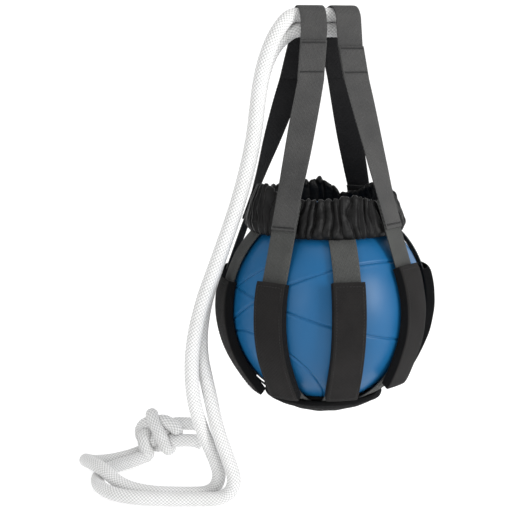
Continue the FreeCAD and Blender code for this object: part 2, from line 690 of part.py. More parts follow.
make_ball()
rising = {strap["azimuth"] for strap in STRAPS.values()}
for position, (arm_azimuth, sleeve_slide) in enumerate(zip(ARM_AZIMUTHS, SLEEVE_SLIDES), start=1):
    make_arm(position, arm_azimuth, arm_azimuth in rising)
    make_sleeve(position, arm_azimuth, sleeve_slide)
make_base()
make_collar()
for loop_side in LOOPS:
    make_loop(loop_side)
for strap_label, strap_facts in STRAPS.items():
    make_strap(strap_label, strap_facts)
make_tacks()
make_bight()
make_rope()
doc.recompute()

broken = [o.Name for o in doc.Objects if "Invalid" in o.State or "Error" in o.State]
if broken:
    raise SystemExit(f"these objects did not recompute: {broken}")
for piece in parts:
    if piece.Shape.isNull() or not piece.Shape.isValid() or piece.Shape.Volume <= 0:
        raise SystemExit(f"{piece.Label} has no valid shape")

os.makedirs("parts", exist_ok=True)
for piece in parts:
    piece.Shape.exportStep(f"parts/{piece.Label}.step")
print(len(parts), "parts written")
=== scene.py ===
import math

import bmesh
import bpy
import numpy as np
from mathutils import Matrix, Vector, noise


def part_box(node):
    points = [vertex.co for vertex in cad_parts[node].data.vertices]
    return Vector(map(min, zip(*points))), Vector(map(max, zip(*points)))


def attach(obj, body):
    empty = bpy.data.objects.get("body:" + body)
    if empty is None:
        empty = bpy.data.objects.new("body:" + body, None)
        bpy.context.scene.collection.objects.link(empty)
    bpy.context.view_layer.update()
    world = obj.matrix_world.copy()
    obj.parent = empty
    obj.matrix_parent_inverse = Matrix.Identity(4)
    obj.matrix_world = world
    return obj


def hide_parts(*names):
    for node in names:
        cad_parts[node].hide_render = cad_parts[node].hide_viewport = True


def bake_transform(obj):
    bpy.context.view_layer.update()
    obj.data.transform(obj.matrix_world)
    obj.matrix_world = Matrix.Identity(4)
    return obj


# Looks of the webbing ball bag: ball, padded webbing cage, gathered collar, straps and braided rope.
# Metres, in the part's frame: the origin is where the loops hang on the rope, and -Y faces the
# camera.

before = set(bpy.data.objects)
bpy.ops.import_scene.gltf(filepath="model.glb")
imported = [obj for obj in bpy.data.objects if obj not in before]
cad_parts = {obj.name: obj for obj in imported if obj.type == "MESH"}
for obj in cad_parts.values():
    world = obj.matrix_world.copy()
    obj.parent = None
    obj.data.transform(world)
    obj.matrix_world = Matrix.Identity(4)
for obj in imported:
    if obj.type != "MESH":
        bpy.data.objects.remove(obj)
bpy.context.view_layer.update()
MM = 0.001

# ---- sizes, as in the frame and the part

ball_low, ball_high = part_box("ball_shell")
BALL = np.array((ball_low + ball_high) / 2.0)
BALL_RADIUS = (ball_high.z - ball_low.z) / 2.0
ROPE_YAW = math.radians(16.0)
ROPE_DIAMETER = 16 * MM
ROPE_OFFSET = 8.1 * MM
ROPE_EXIT, ROPE_TURN = -29 * MM, 17 * MM
LOOPS = {
    "left": {"along": -20.6 * MM, "yaw": 13, "square_above": -8 * MM},
    "right": {"along": 18.0 * MM, "yaw": 20, "square_above": -25 * MM},
}
WEB_WIDTH = 30 * MM
WEB_THICK = 2 * MM
WEB_MIDDLE = 118.3 * MM
LAP_GAP = 0.05 * MM
WEB_LOW, WEB_HIGH, WEB_LEAVE = math.radians(-65), math.radians(46.5), math.radians(20)
WEB_RUN = 90 * MM
LOOP_INNER = 16.9 * MM
LOOP_SPLAY = math.radians(10)
LOOP_END = -62 * MM
SLEEVE_WIDTH = 36 * MM
SLEEVE_INNER, SLEEVE_OUTER = 115.7 * MM, 127 * MM
SLEEVE_LOW, SLEEVE_HIGH = math.radians(-49), math.radians(17)
ARM_AZIMUTHS = [-106, -71.5, -32, 9.5, 50.5, 97, 148, 203]
SLEEVE_SLIDES = [-0.5, -1.5, 2, 3.5, 9, 1.5, 0.5, 0]
STRAPS = {
    "strap_back_left": {
        "azimuth": -106, "loop": "left", "side": 1, "lean": 0.2, "face": 74,
        "top": -19.5 * MM, "tacks": (-23.0 * MM, -57.0 * MM, -219.0 * MM),
    },
    "strap_front_left": {
        "azimuth": -32, "loop": "left", "side": -1, "lean": 0.12, "face": -32,
        "top": -19.5 * MM, "tacks": (-22.0 * MM, -53.5 * MM, -219.0 * MM),
    },
    "strap_front_right": {
        "azimuth": 50.5, "loop": "right", "side": -1, "lean": -0.12, "face": 50.5,
        "top": -26.0 * MM, "tacks": (-28.5 * MM, -54.5 * MM, -217.5 * MM),
    },
    "strap_back_right": {
        "azimuth": 148, "loop": "right", "side": 1, "lean": -0.3, "face": -32,
        "top": -26.0 * MM, "tacks": (-33.0 * MM, -57.0 * MM, -219.0 * MM),
    },
}
STRAP_LAP_END = -62 * MM
STRAP_JOIN_TOP, STRAP_JOIN_END = -190.0 * MM, -222.0 * MM

# Rope routes, the part's own points, in millimetres.
FRONT_ROUTE = [
    (-27.9, -8, 8.1), (-38.3, -11, 8.1), (-46, -19, 3.2), (-54.5, -27.5, -7.5), (-63, -34.5, -23),
    (-70, -39, -43), (-75.2, -42, -66), (-78, -44, -90), (-83, -49, -132.5), (-98, -55, -192.5),
    (-119, -61, -251.5), (-141, -63, -310.5), (-152, -60, -367.5), (-150, -52, -420.5),
    (-140, -39, -461.5), (-127, -28, -496.5), (-120, -22, -522.5), (-131, -20, -542.5),
    (-160, -22, -542.5), (-205, -19, -542.5), (-238, -6, -538.5), (-262, 16, -526),
    (-281, 40, -526), (-292, 63, -530.5), (-283, 85, -541.5), (-261, 94, -542.5),
    (-237, 100, -538.5), (-218, 106, -532.5),
]
REAR_ROUTE = [
    (-27.9, -8, -8.1), (-36.2, -10.4, -8.1), (-45.5, -10.5, -14), (-55.5, -12.5, -23),
    (-64, -16, -36.5), (-71, -20.5, -56), (-76, -25, -84), (-82, -31, -137), (-97, -37.5, -194.5),
    (-117, -43.5, -251.5), (-137, -46, -308.5), (-143, -44, -362.5), (-132, -43, -412.5),
    (-123, -45, -457.5), (-110, -42, -494.5), (-102, -39, -523.5), (-115, -38, -542.5),
    (-147, -40, -542.5), (-192, -40, -542.5), (-234, -32, -542.5), (-262, -8, -542.5),
    (-272, 24, -542.5), (-268, 54, -542.5), (-252, 74, -542.5), (-232, 82, -539.5),
    (-214, 88, -533.5),
]

# The knot's middle and where the two cut ends lie past it, in millimetres.
KNOT_MIDDLE = (-200, 98, -523)
TAIL_TIPS = {"front": (-148, 88, -516), "rear": (-150, 116, -503)}
FLOOR_HEIGHT = -550.7 * MM


# ---- mesh tools

def grid_faces(rows, cols, around):
    """Quads of a rows by cols grid of points, closed across the columns if it goes around."""
    last = cols if around else cols - 1
    i, j = np.meshgrid(np.arange(rows - 1), np.arange(last), indexing="ij")
    i, j = i.ravel(), j.ravel()
    corner_rows = np.stack([i, i, i + 1, i + 1], axis=1)
    corner_cols = np.stack([j, j + 1, j + 1, j], axis=1)
    return corner_rows * cols + corner_cols % cols, corner_rows, corner_cols


def make_piece(name, verts, faces, material, uvs=None, extra_faces=()):
    """A mesh object; uvs is one (u, v) per face corner, in metres along and across the piece."""
    mesh = bpy.data.meshes.new(name)
    all_faces = [list(map(int, f)) for f in faces] + [list(map(int, f)) for f in extra_faces]
    mesh.from_pydata(np.asarray(verts, float).tolist(), [], all_faces)
    mesh.polygons.foreach_set("use_smooth", [True] * len(mesh.polygons))
    if uvs is not None:
        layer = mesh.uv_layers.new(name="UVMap")
        flat = np.zeros((len(mesh.loops), 2), np.float32)
        flat[: len(uvs)] = uvs
        layer.data.foreach_set("uv", flat.ravel())
    mesh.update()
    piece = bpy.data.objects.new(name, mesh)
    bpy.context.scene.collection.objects.link(piece)
    for item in material if isinstance(material, (list, tuple)) else [material]:
        mesh.materials.append(item)
    return piece


def sheet_grid(name, points, material, u_values, v_values, around=False, caps=False):
    """A grid surface; points is rows by cols by 3, v runs along the rows and u across."""
    rows, cols = points.shape[:2]
    faces, corner_rows, corner_cols = grid_faces(rows, cols, around)
    uvs = np.stack([u_values[corner_cols], v_values[corner_rows]], axis=2).reshape(-1, 2)
    ends = []
    if caps:
        ends = [list(range(cols))[::-1], [(rows - 1) * cols + k for k in range(cols)]]
    return make_piece(name, points.reshape(-1, 3), faces, material, uvs, ends)


def stand_in(piece, body, slot, *nodes):
    """Make a piece ride on a body and stand for CAD nodes, which it hides; slot is not used."""
    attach(piece, body)
    if nodes:
        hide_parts(*nodes)


def unit_rows(vectors):
    return vectors / np.linalg.norm(vectors, axis=-1, keepdims=True)


def outward(azimuth):
    turn = math.radians(azimuth)
    return np.array([math.sin(turn), -math.cos(turn), 0.0])


def sideways(azimuth):
    turn = math.radians(azimuth)
    return np.array([math.cos(turn), math.sin(turn), 0.0])


def ball_normal(azimuth, latitude):
    """Direction from the ball's centre, at an azimuth in degrees and latitudes in radians."""
    level = np.multiply.outer(np.cos(latitude), outward(azimuth))
    return level + np.multiply.outer(np.sin(latitude), [0, 0, 1.0])


def along_rope(along, across, height=0.0):
    """Point given along the rope's direction through the loops, square to it, and up."""
    c, s = math.cos(ROPE_YAW), math.sin(ROPE_YAW)
    return np.array([along * c - across * s, along * s + across * c, height])


def loop_spot(side, along, across, height):
    """Point given from a loop's centre, along its width, square to it, and up."""
    turn = math.radians(LOOPS[side]["yaw"])
    c, s = math.cos(turn), math.sin(turn)
    spot = along_rope(LOOPS[side]["along"], 0.0, height)
    return spot + [along * c - across * s, along * s + across * c, 0]


def ripple(values, seed, size):
    """Smooth wobble of about plus or minus one along values, with a feature size."""
    return np.array([noise.noise(Vector((v / size, seed * 7.31, seed * 2.17))) for v in values])


def join(name, pieces):
    """Join meshes that share one material into one piece."""
    bpy.ops.object.select_all(action="DESELECT")
    for piece in pieces:
        piece.select_set(True)
    bpy.context.view_layer.objects.active = pieces[0]
    bpy.ops.object.join()
    pieces[0].name = name
    return pieces[0]


# ---- material tools

def new_material(name):
    material = bpy.data.materials.new(name)
    material.use_nodes = True
    tree = material.node_tree
    return material, tree, tree.nodes["Principled BSDF"]


def object_spot(tree):
    return tree.nodes.new("ShaderNodeTexCoord").outputs["Object"]


def grey(level):
    return (level, level, level)


def value_node(tree, operation, first, second=None):
    """A math node; each input is a socket or a number."""
    node = tree.nodes.new("ShaderNodeMath")
    node.operation = operation
    for slot_index, source in enumerate((first, second)):
        if source is None:
            continue
        if isinstance(source, (int, float)):
            node.inputs[slot_index].default_value = source
        else:
            tree.links.new(source, node.inputs[slot_index])
    return node.outputs[0]


def noise_node(tree, vector, scale, detail, roughness=0.55):
    node = tree.nodes.new("ShaderNodeTexNoise")
    node.inputs["Scale"].default_value = scale
    node.inputs["Detail"].default_value = detail
    node.inputs["Roughness"].default_value = roughness
    tree.links.new(vector, node.inputs["Vector"])
    return node.outputs["Fac"]


def ramp_node(tree, factor, *stops):
    """Colour ramp; stops are (position, (r, g, b))."""
    node = tree.nodes.new("ShaderNodeValToRGB")
    elements = node.color_ramp.elements
    while len(elements) < len(stops):
        elements.new(0.5)
    for element, (position, colour) in zip(elements, stops):
        element.position = position
        element.color = (*colour, 1.0)
    tree.links.new(factor, node.inputs["Fac"])
    return node.outputs["Color"]


def bump_node(tree, shader, height, distance, strength=1.0):
    node = tree.nodes.new("ShaderNodeBump")
    node.inputs["Strength"].default_value = strength
    node.inputs["Distance"].default_value = distance
    tree.links.new(height, node.inputs["Height"])
    tree.links.new(node.outputs["Normal"], shader.inputs["Normal"])


def multiply_colours(tree, first, second):
    node = tree.nodes.new("ShaderNodeMix")
    node.data_type = "RGBA"
    node.blend_type = "MULTIPLY"
    sockets = {s.name: s for s in node.inputs if s.enabled}
    sockets["Factor"].default_value = 1.0
    tree.links.new(first, sockets["A"])
    tree.links.new(second, sockets["B"])
    return [s for s in node.outputs if s.enabled][0]


def set_inputs(shader, **values):
    """Set shader inputs; Specular_IOR_Level=0.1 sets "Specular IOR Level"."""
    for key, value in values.items():
        shader.inputs[key.replace("_", " ")].default_value = value


def shade(colour, factor):
    return tuple(min(1.0, c * factor) for c in colour)


def weave_height(tree, uv, across_pitch, along_pitch):
    """Plain weave: warp and weft threads that pass over each other in turn."""
    split = tree.nodes.new("ShaderNodeSeparateXYZ")
    tree.links.new(uv, split.inputs[0])
    threads, turns = [], []
    for axis, pitch in (("X", across_pitch), ("Y", along_pitch)):
        phase = value_node(tree, "MULTIPLY", split.outputs[axis], math.pi / pitch)
        threads.append(value_node(tree, "ABSOLUTE", value_node(tree, "SINE", phase)))
        turns.append(value_node(tree, "SINE", value_node(tree, "MULTIPLY", phase, 0.5)))
    over = value_node(tree, "GREATER_THAN", value_node(tree, "MULTIPLY", *turns), 0.0)
    under = value_node(tree, "SUBTRACT", 1.0, over)
    first = value_node(tree, "MULTIPLY", threads[0], over)
    return value_node(tree, "ADD", first, value_node(tree, "MULTIPLY", threads[1], under))


def woven_material(name, colour, across_pitch, along_pitch, depth, sheen):
    """Woven cloth: threads from the surface's own metres with painted shade between them; worn and
    dusty in patches.
    """
    material, tree, shader = new_material(name)
    coordinates = tree.nodes.new("ShaderNodeTexCoord")
    height = weave_height(tree, coordinates.outputs["UV"], across_pitch, along_pitch)
    blotch = noise_node(tree, coordinates.outputs["Object"], 34.0, 3.0)
    fuzz = noise_node(tree, coordinates.outputs["Object"], 900.0, 5.0, 0.7)
    # Painted shade: the weave's valleys are painted at half the colour and the thread tops lighter.
    threads = ramp_node(tree, height, (0.0, shade(colour, 0.5)), (1.0, shade(colour, 1.35)))
    patches = ramp_node(tree, blotch, (0.3, grey(0.86)), (0.75, (1.16, 1.15, 1.13)))
    grain = ramp_node(tree, fuzz, (0.25, grey(0.72)), (0.8, grey(1.25)))
    base = multiply_colours(tree, multiply_colours(tree, threads, patches), grain)
    tree.links.new(base, shader.inputs["Base Color"])
    set_inputs(
        shader, Roughness=0.86, Specular_IOR_Level=0.1, Sheen_Weight=sheen, Sheen_Roughness=0.5
    )
    relief = value_node(tree, "ADD", height, value_node(tree, "MULTIPLY", fuzz, 0.5))
    bump_node(tree, shader, relief, depth)
    return material


def ball_material():
    """Satin moulded vinyl: soft gloss, faint pebbling and slight colour drift."""
    material, tree, shader = new_material("ball_vinyl_blue")
    spot = object_spot(tree)
    drift = noise_node(tree, spot, 9.0, 3.0)
    colour = ramp_node(tree, drift, (0.25, (0.0045, 0.084, 0.212)), (0.8, (0.0065, 0.104, 0.258)))
    tree.links.new(colour, shader.inputs["Base Color"])
    smear = noise_node(tree, spot, 26.0, 5.0)
    rough = ramp_node(tree, smear, (0.2, grey(0.35)), (0.85, grey(0.47)))
    tree.links.new(rough, shader.inputs["Roughness"])
    set_inputs(shader, Specular_IOR_Level=0.28, Coat_Weight=0.05, Coat_Roughness=0.3)
    pebble = value_node(tree, "MULTIPLY", noise_node(tree, spot, 620.0, 2.0), 0.12)
    relief = value_node(tree, "ADD", pebble, noise_node(tree, spot, 22.0, 2.0))
    bump_node(tree, shader, relief, 0.0009, 0.5)
    return material


def nylon_material():
    """Thin black nylon: dark, with a soft sheen on the folds and fine crinkles."""
    material, tree, shader = new_material("collar_nylon_black")
    coordinates = tree.nodes.new("ShaderNodeTexCoord")
    crinkle = noise_node(tree, coordinates.outputs["Object"], 140.0, 6.0, 0.65)
    thread = weave_height(tree, coordinates.outputs["UV"], 0.7 * MM, 0.7 * MM)
    colour = ramp_node(
        tree, crinkle, (0.3, (0.0018, 0.0018, 0.002)), (0.75, (0.0055, 0.0052, 0.0052))
    )
    tree.links.new(colour, shader.inputs["Base Color"])
    set_inputs(
        shader, Roughness=0.42, Specular_IOR_Level=0.2, Sheen_Weight=0.015, Sheen_Roughness=0.35
    )
    relief = value_node(tree, "ADD", crinkle, value_node(tree, "MULTIPLY", thread, 0.06))
    bump_node(tree, shader, relief, 0.0012, 0.6)
    return material


def rope_material():
    """White braided polyester: bright strands with fine filaments, with painted shade in the
    grooves.
    """
    material, tree, shader = new_material("rope_braid_white")
    attribute = tree.nodes.new("ShaderNodeAttribute")
    attribute.attribute_name = "braid_height_painted_shade"
    spot = object_spot(tree)
    # Painted shade: the grooves between the braid's strands are painted dark grey and the strand
    # tops near white, from the braid's height.
    colour = ramp_node(
        tree, attribute.outputs["Fac"], (0.0, grey(0.13)), (0.5, grey(0.62)), (1.0, grey(0.90))
    )
    soil = noise_node(tree, spot, 30.0, 4.0)
    tint = ramp_node(tree, soil, (0.25, (0.93, 0.93, 0.92)), (0.7, grey(1.0)))
    tree.links.new(multiply_colours(tree, colour, tint), shader.inputs["Base Color"])
    set_inputs(
        shader, Roughness=0.72, Sheen_Weight=0.12, Subsurface_Weight=0.12,
        Subsurface_Radius=(0.002, 0.002, 0.002),
    )
    bump_node(tree, shader, noise_node(tree, spot, 1500.0, 3.0, 0.7), 0.0004, 0.6)
    return material


def plain_material(name, colour, roughness):
    """One colour with a fine speckle and grain."""
    material, tree, shader = new_material(name)
    speckle = noise_node(tree, object_spot(tree), 500.0, 3.0)
    tone = ramp_node(tree, speckle, (0.2, shade(colour, 0.8)), (0.8, shade(colour, 1.2)))
    tree.links.new(tone, shader.inputs["Base Color"])
    set_inputs(shader, Roughness=roughness)
    bump_node(tree, shader, speckle, 0.0003, 0.5)
    return material


WEB_PITCHES = (1.5 * MM, 1.1 * MM, 0.0005)       # thread spacing across and along, relief
strap_cloth = woven_material("strap_webbing_grey", (0.069, 0.069, 0.069), *WEB_PITCHES, 0.04)
arm_cloth = woven_material("arm_webbing_grey", (0.070, 0.072, 0.070), *WEB_PITCHES, 0.04)
inner_cloth = woven_material("webbing_inner_black", (0.012, 0.012, 0.013), *WEB_PITCHES, 0.03)
PADDED_PITCHES = (1.0 * MM, 1.0 * MM, 0.0004)
EDGE_PITCHES = (0.8 * MM, 0.8 * MM, 0.0003)
sleeve_cloth = woven_material("sleeve_cloth_dark", (0.0150, 0.0140, 0.0140), *PADDED_PITCHES, 0.03)
edge_cloth = woven_material("sleeve_edge_black", (0.004, 0.004, 0.0045), *EDGE_PITCHES, 0.02)
base_cloth = woven_material("base_cloth_black", (0.006, 0.006, 0.0065), *PADDED_PITCHES, 0.03)
nylon = nylon_material()
vinyl = ball_material()
braid = rope_material()
thread_black = plain_material("thread_black", (0.006, 0.006, 0.006), 0.6)
foam_grey = plain_material("foam_grey", (0.12, 0.12, 0.12), 0.9)


# ---- the ball

# Moulded seams: each is a circle on the ball, as its pole's azimuth and latitude, its height along
# that pole as a share of the radius, and the azimuths between which it is moulded.
SEAMS = [
    (-150, 57, -0.03, -180, 180), (88, 74, -0.03, -180, 180), (129, 43, -0.84, -180, 180),
    (-150, 57, 0.23, -180, -32), (150, -20, 0.72, -180, 180), (-160, -35, 0.80, -180, 180),
]
SEAM_HALF_WIDTH = 1.1 * MM
SEAM_DEPTH = 1.3 * MM
SEAM_LIP = 0.25 * MM
SEAM_FINE_MESH = 3.5 * MM           # the mesh is divided twice this near a seam
BALL_SKIN_SINK = 0.3 * MM           # keeps the lip inside the CAD ball


def seam_distance(directions):
    """Distance on the ball's surface from each direction to the nearest seam."""
    nearest = np.full(len(directions), 1.0)
    azimuths = np.degrees(np.arctan2(directions[:, 0], -directions[:, 1]))
    for azimuth, latitude, share, first, last in SEAMS:
        height = np.clip(directions @ ball_normal(azimuth, math.radians(latitude)), -1, 1)
        gap = np.abs(np.arcsin(height) - math.asin(share)) * BALL_RADIUS
        gap = np.where((azimuths > first) & (azimuths < last), gap, 1.0)
        nearest = np.minimum(nearest, gap)
    return nearest


def build_ball():
    mesh = bpy.data.meshes.new("ball")
    body = bmesh.new()
    bmesh.ops.create_icosphere(body, subdivisions=7, radius=1.0)
    for _ in range(2):
        directions = unit_rows(np.array([v.co for v in body.verts]))
        close = seam_distance(directions) < SEAM_FINE_MESH
        body.verts.ensure_lookup_table()
        body.verts.index_update()
        edges = [e for e in body.edges if close[e.verts[0].index] and close[e.verts[1].index]]
        bmesh.ops.subdivide_edges(body, edges=edges, cuts=1, use_grid_fill=True)
    bmesh.ops.triangulate(body, faces=[f for f in body.faces if len(f.verts) > 4])
    body.to_mesh(mesh)
    body.free()
    directions = np.zeros(len(mesh.vertices) * 3)
    mesh.vertices.foreach_get("co", directions)
    directions = unit_rows(directions.reshape(-1, 3))
    gap = seam_distance(directions)
    groove = SEAM_DEPTH * np.exp(-((gap / SEAM_HALF_WIDTH) ** 2))
    lip = SEAM_LIP * np.exp(-(((gap - 2.6 * SEAM_HALF_WIDTH) / SEAM_HALF_WIDTH) ** 2))
    radius = BALL_RADIUS - BALL_SKIN_SINK - groove + lip
    mesh.vertices.foreach_set("co", (BALL + directions * radius[:, None]).ravel())
    mesh.polygons.foreach_set("use_smooth", [True] * len(mesh.polygons))
    mesh.materials.append(vinyl)
    ball = bpy.data.objects.new("ball", mesh)
    bpy.context.scene.collection.objects.link(ball)
    stand_in(ball, "ball", "ball_vinyl", "ball_shell")


# ---- webbing

INNER_FACE_BELOW = -0.3 * MM        # section height under which a face is the black inner one


def web_section(width, thick):
    """Closed outline of webbing, flat faces and rolled edges, starting on the inner face."""
    half, deep = width / 2.0, thick / 2.0
    xs = np.linspace(-half + deep * 0.8, half - deep * 0.8, 13)
    selvedge = 1.0 - 0.16 * np.clip(np.abs(xs) / half * 6.0 - 4.6, 0, 1)
    inner = np.stack([xs, -deep * selvedge], axis=1)
    edge = np.array([[half - deep * 0.2, -deep * 0.6], [half, 0.0], [half - deep * 0.2, deep * 0.6]])
    outer = inner[::-1] * [1, -1]
    return np.concatenate([inner, edge, outer, -edge * [1, 1]])


def along_lengths(points):
    steps = np.linalg.norm(np.diff(points, axis=0), axis=1)
    return np.concatenate([[0.0], np.cumsum(steps)])


def sweep(name, centres, sides, normals, material, wander, seed):
    """Webbing along centres; sides and normals say how it faces at each."""
    section = web_section(WEB_WIDTH, WEB_THICK)
    lengths = along_lengths(centres)
    shift = wander * ripple(lengths, seed + 1, 0.05)
    twist = wander * ripple(lengths, seed + 2, 0.035) / (WEB_WIDTH / 2)
    centres = centres + sides * shift[:, None]
    tilted = unit_rows(sides + normals * twist[:, None])
    square = unit_rows(normals - sides * twist[:, None])
    points = (
        centres[:, None, :]
        + tilted[:, None, :] * section[None, :, 0:1]
        + square[:, None, :] * section[None, :, 1:2]
    )
    across = np.append(section[:, 0], section[0, 0])
    piece = sheet_grid(name, points, [material, inner_cloth], across, lengths, True, True)
    heights = (section[:, 1] + np.roll(section[:, 1], -1)) / 2
    index = np.zeros(len(piece.data.polygons), int)
    inner = np.tile(heights < INNER_FACE_BELOW, len(centres) - 1)
    index[: len(inner)] = inner
    piece.data.polygons.foreach_set("material_index", index)
    return piece


def arm_line(azimuth, rises):
    """Centre line, sides and outward normals of an arm."""
    top = WEB_LEAVE if rises else WEB_HIGH
    normals = ball_normal(azimuth, np.linspace(WEB_LOW, top, 90))
    centres = BALL + normals * WEB_MIDDLE
    if rises:
        rise = ball_normal(azimuth, top + math.pi / 2)
        run = np.linspace(0, WEB_RUN, 32)[1:, None]
        centres = np.concatenate([centres, centres[-1] + run * rise])
        normals = np.concatenate([normals, np.repeat(normals[-1:], len(run), axis=0)])
    return centres, np.repeat(sideways(azimuth)[None, :], len(centres), axis=0), normals


def build_arms():
    rising = {s["azimuth"] for s in STRAPS.values()}
    for number, azimuth in enumerate(ARM_AZIMUTHS, start=1):
        line = arm_line(azimuth, azimuth in rising)
        arm = sweep(f"arm_webbing_{number}", *line, arm_cloth, 0.2 * MM, number)
        stand_in(arm, "bag", "arm_webbing", f"arm_{number}")


def splayed(radius, height):
    return (radius - height * math.sin(LOOP_SPLAY)) / math.cos(LOOP_SPLAY)


def strap_station(strap, height):
    """Centre and face turn (degrees) and lean (radians) of a hanging strap at a height."""
    loop = LOOPS[strap["loop"]]
    if height >= STRAP_LAP_END:
        middle = LOOP_INNER + WEB_THICK * 1.5 + LAP_GAP
        drift = strap["lean"] * (height - loop["square_above"])
        spot = loop_spot(strap["loop"], drift, splayed(middle, height) * strap["side"], height)
        return spot, loop["yaw"], LOOP_SPLAY
    if height <= STRAP_JOIN_TOP:
        middle = WEB_MIDDLE + WEB_THICK + LAP_GAP
        rise = height - BALL[2]
        reach = (middle - rise * math.sin(WEB_LEAVE)) / math.cos(WEB_LEAVE)
        spot = outward(strap["azimuth"]) * reach
        spot[2] = height
        return spot, strap["face"], WEB_LEAVE
    top, turn_top, lean_top = strap_station(strap, STRAP_LAP_END)
    low, turn_low, lean_low = strap_station(strap, STRAP_JOIN_TOP)
    share = (STRAP_LAP_END - height) / (STRAP_LAP_END - STRAP_JOIN_TOP)
    spot = top + (low - top) * share
    ease = 0.35 * share * share * (3 - 2 * share) + 0.65 * share
    return spot, turn_top + (turn_low - turn_top) * ease, lean_top + (lean_low - lean_top) * share


def strap_frame(strap, heights):
    """Centres, level sides and outward normals of a strap at the given heights."""
    stations = [strap_station(strap, h) for h in heights]
    centres = np.array([s[0] for s in stations])
    sides = np.array([sideways(s[1]) for s in stations])
    run = unit_rows(np.gradient(centres, axis=0))
    normals = unit_rows(np.cross(run, sides))
    outside = np.sign(np.sum(normals * centres * [1, 1, 0]))
    return centres, sides, normals * outside


def build_straps():
    for number, (name, strap) in enumerate(STRAPS.items(), start=20):
        line = strap_frame(strap, np.linspace(strap["top"], STRAP_JOIN_END, 150))
        piece = sweep(f"hanging_{name}", *line, strap_cloth, 0.35 * MM, number)
        stand_in(piece, "bag", "strap_webbing", name)


def build_loops():
    """Short webbing pieces over the rope, splaying as they come down inside the straps."""
    middle = LOOP_INNER + WEB_THICK / 2
    for number, (name, loop) in enumerate(LOOPS.items(), start=30):
        leans = {s["side"]: s["lean"] for s in STRAPS.values() if s["loop"] == name}
        low = np.linspace(LOOP_END, middle * math.sin(LOOP_SPLAY), 26)[:-1]
        arc = np.linspace(LOOP_SPLAY, math.pi - LOOP_SPLAY, 40)
        across = np.concatenate([
            splayed(middle, low), middle * np.cos(arc), -splayed(middle, low[::-1]),
        ])
        height = np.concatenate([low, middle * np.sin(arc), low[::-1]])
        lean = np.where(across > 0, leans[1], leans[-1])
        drift = lean * np.minimum(height - loop["square_above"], 0.0)
        centres = np.array([loop_spot(name, d, a, h) for d, a, h in zip(drift, across, height)])
        side = np.repeat(sideways(loop["yaw"])[None, :], len(centres), axis=0)
        run = unit_rows(np.gradient(centres, axis=0))
        normals = unit_rows(np.cross(run, side))
        piece = sweep(f"loop_webbing_{name}", centres, side, normals, strap_cloth, 0.0, number)
        stand_in(piece, "bag", "strap_webbing", f"loop_{name}")


# ---- stitching

def stitch_mesh(starts, ends, normals, width, height):
    """Verts and faces of short rounded stitches lying on a surface."""
    run = ends - starts
    length = np.linalg.norm(run, axis=1, keepdims=True)
    run = run / length
    side = np.cross(normals, run)
    profile = [(0.0, 0.35), (0.18, 0.85), (0.5, 1.0), (0.82, 0.85), (1.0, 0.35)]
    ring = [(-1.0, 0.0), (-0.6, 0.75), (0.0, 1.0), (0.6, 0.75), (1.0, 0.0), (0.0, -0.6)]
    points = np.zeros((len(starts), len(profile), len(ring), 3))
    for i, (share, fat) in enumerate(profile):
        for j, (across, up) in enumerate(ring):
            lifted = starts + run * length * share + normals * up * fat * height
            points[:, i, j] = lifted + side * across * fat * width / 2
    faces, _, _ = grid_faces(len(profile), len(ring), True)
    size = len(profile) * len(ring)
    ends_faces = [list(range(len(ring)))[::-1], [size - len(ring) + k for k in range(len(ring))]]
    all_faces = np.concatenate([faces + size * k for k in range(len(starts))])
    caps = [[v + size * k for v in cap] for k in range(len(starts)) for cap in ends_faces]
    return points.reshape(-1, 3), all_faces, caps


def make_stitches(name, rows, width, height):
    """One piece of stitches; rows are (start, end, normal)."""
    starts, ends, normals = np.array(rows).transpose(1, 0, 2)
    verts, faces, caps = stitch_mesh(starts, ends, normals, width, height)
    return make_piece(name, verts, faces, thread_black, None, caps)


TACK_REACH = 1.1 * MM               # half the length of a zigzag's slant along the strap
TACK_PITCH = 0.75 * MM
TACK_WIDTH = 27 * MM


def build_tacks():
    """A dense zigzag bar of thread across each lap of the straps."""
    rows = []
    for strap in STRAPS.values():
        for level in strap["tacks"]:
            near = np.linspace(level + 2 * MM, level - 2 * MM, 5)
            centres, sides, faces = strap_frame(strap, near)
            reach = unit_rows(np.gradient(centres, axis=0))[2] * TACK_REACH
            surface = centres[2] + faces[2] * (WEB_THICK / 2 + LAP_GAP)
            for k in range(int(TACK_WIDTH / TACK_PITCH)):
                across = -TACK_WIDTH / 2 + k * TACK_PITCH
                way = 1 if k % 2 else -1
                start = surface + sides[2] * across - reach * way
                end = surface + sides[2] * (across + TACK_PITCH) + reach * way
                rows.append((start, end, faces[2]))
    piece = make_stitches("strap_stitching", rows, 0.95 * MM, 0.45 * MM)
    stand_in(piece, "bag", "thread", "strap_tacks")


# ---- padded sleeves

def sleeve_outline(grow):
    """Section of a sleeve's outer or inner skin, moved in by grow."""
    low, high = SLEEVE_INNER + grow, SLEEVE_OUTER - grow
    half = SLEEVE_WIDTH / 2 - grow
    corner = max(1.6 * MM - grow, 0.4 * MM)
    quarter = np.linspace(0, math.pi / 2, 4)
    corners = [
        (half - corner, high - corner, 0.0), (-half + corner, high - corner, math.pi / 2),
        (-half + corner, low + corner, math.pi), (half - corner, low + corner, 1.5 * math.pi),
    ]
    outline = []
    for index, (x, y, start) in enumerate(corners):
        turned = quarter + start
        outline += [(x + corner * math.cos(a), y + corner * math.sin(a)) for a in turned]
        nx, ny, _ = corners[(index + 1) % 4]
        first = np.array(outline[-1])
        angle = start + math.pi / 2
        last = np.array([nx + corner * math.cos(angle), ny + corner * math.sin(angle)])
        steps = 12 if index in (0, 2) else 4
        outline += [tuple(first + (last - first) * k / steps) for k in range(1, steps)]
    return np.array(outline)


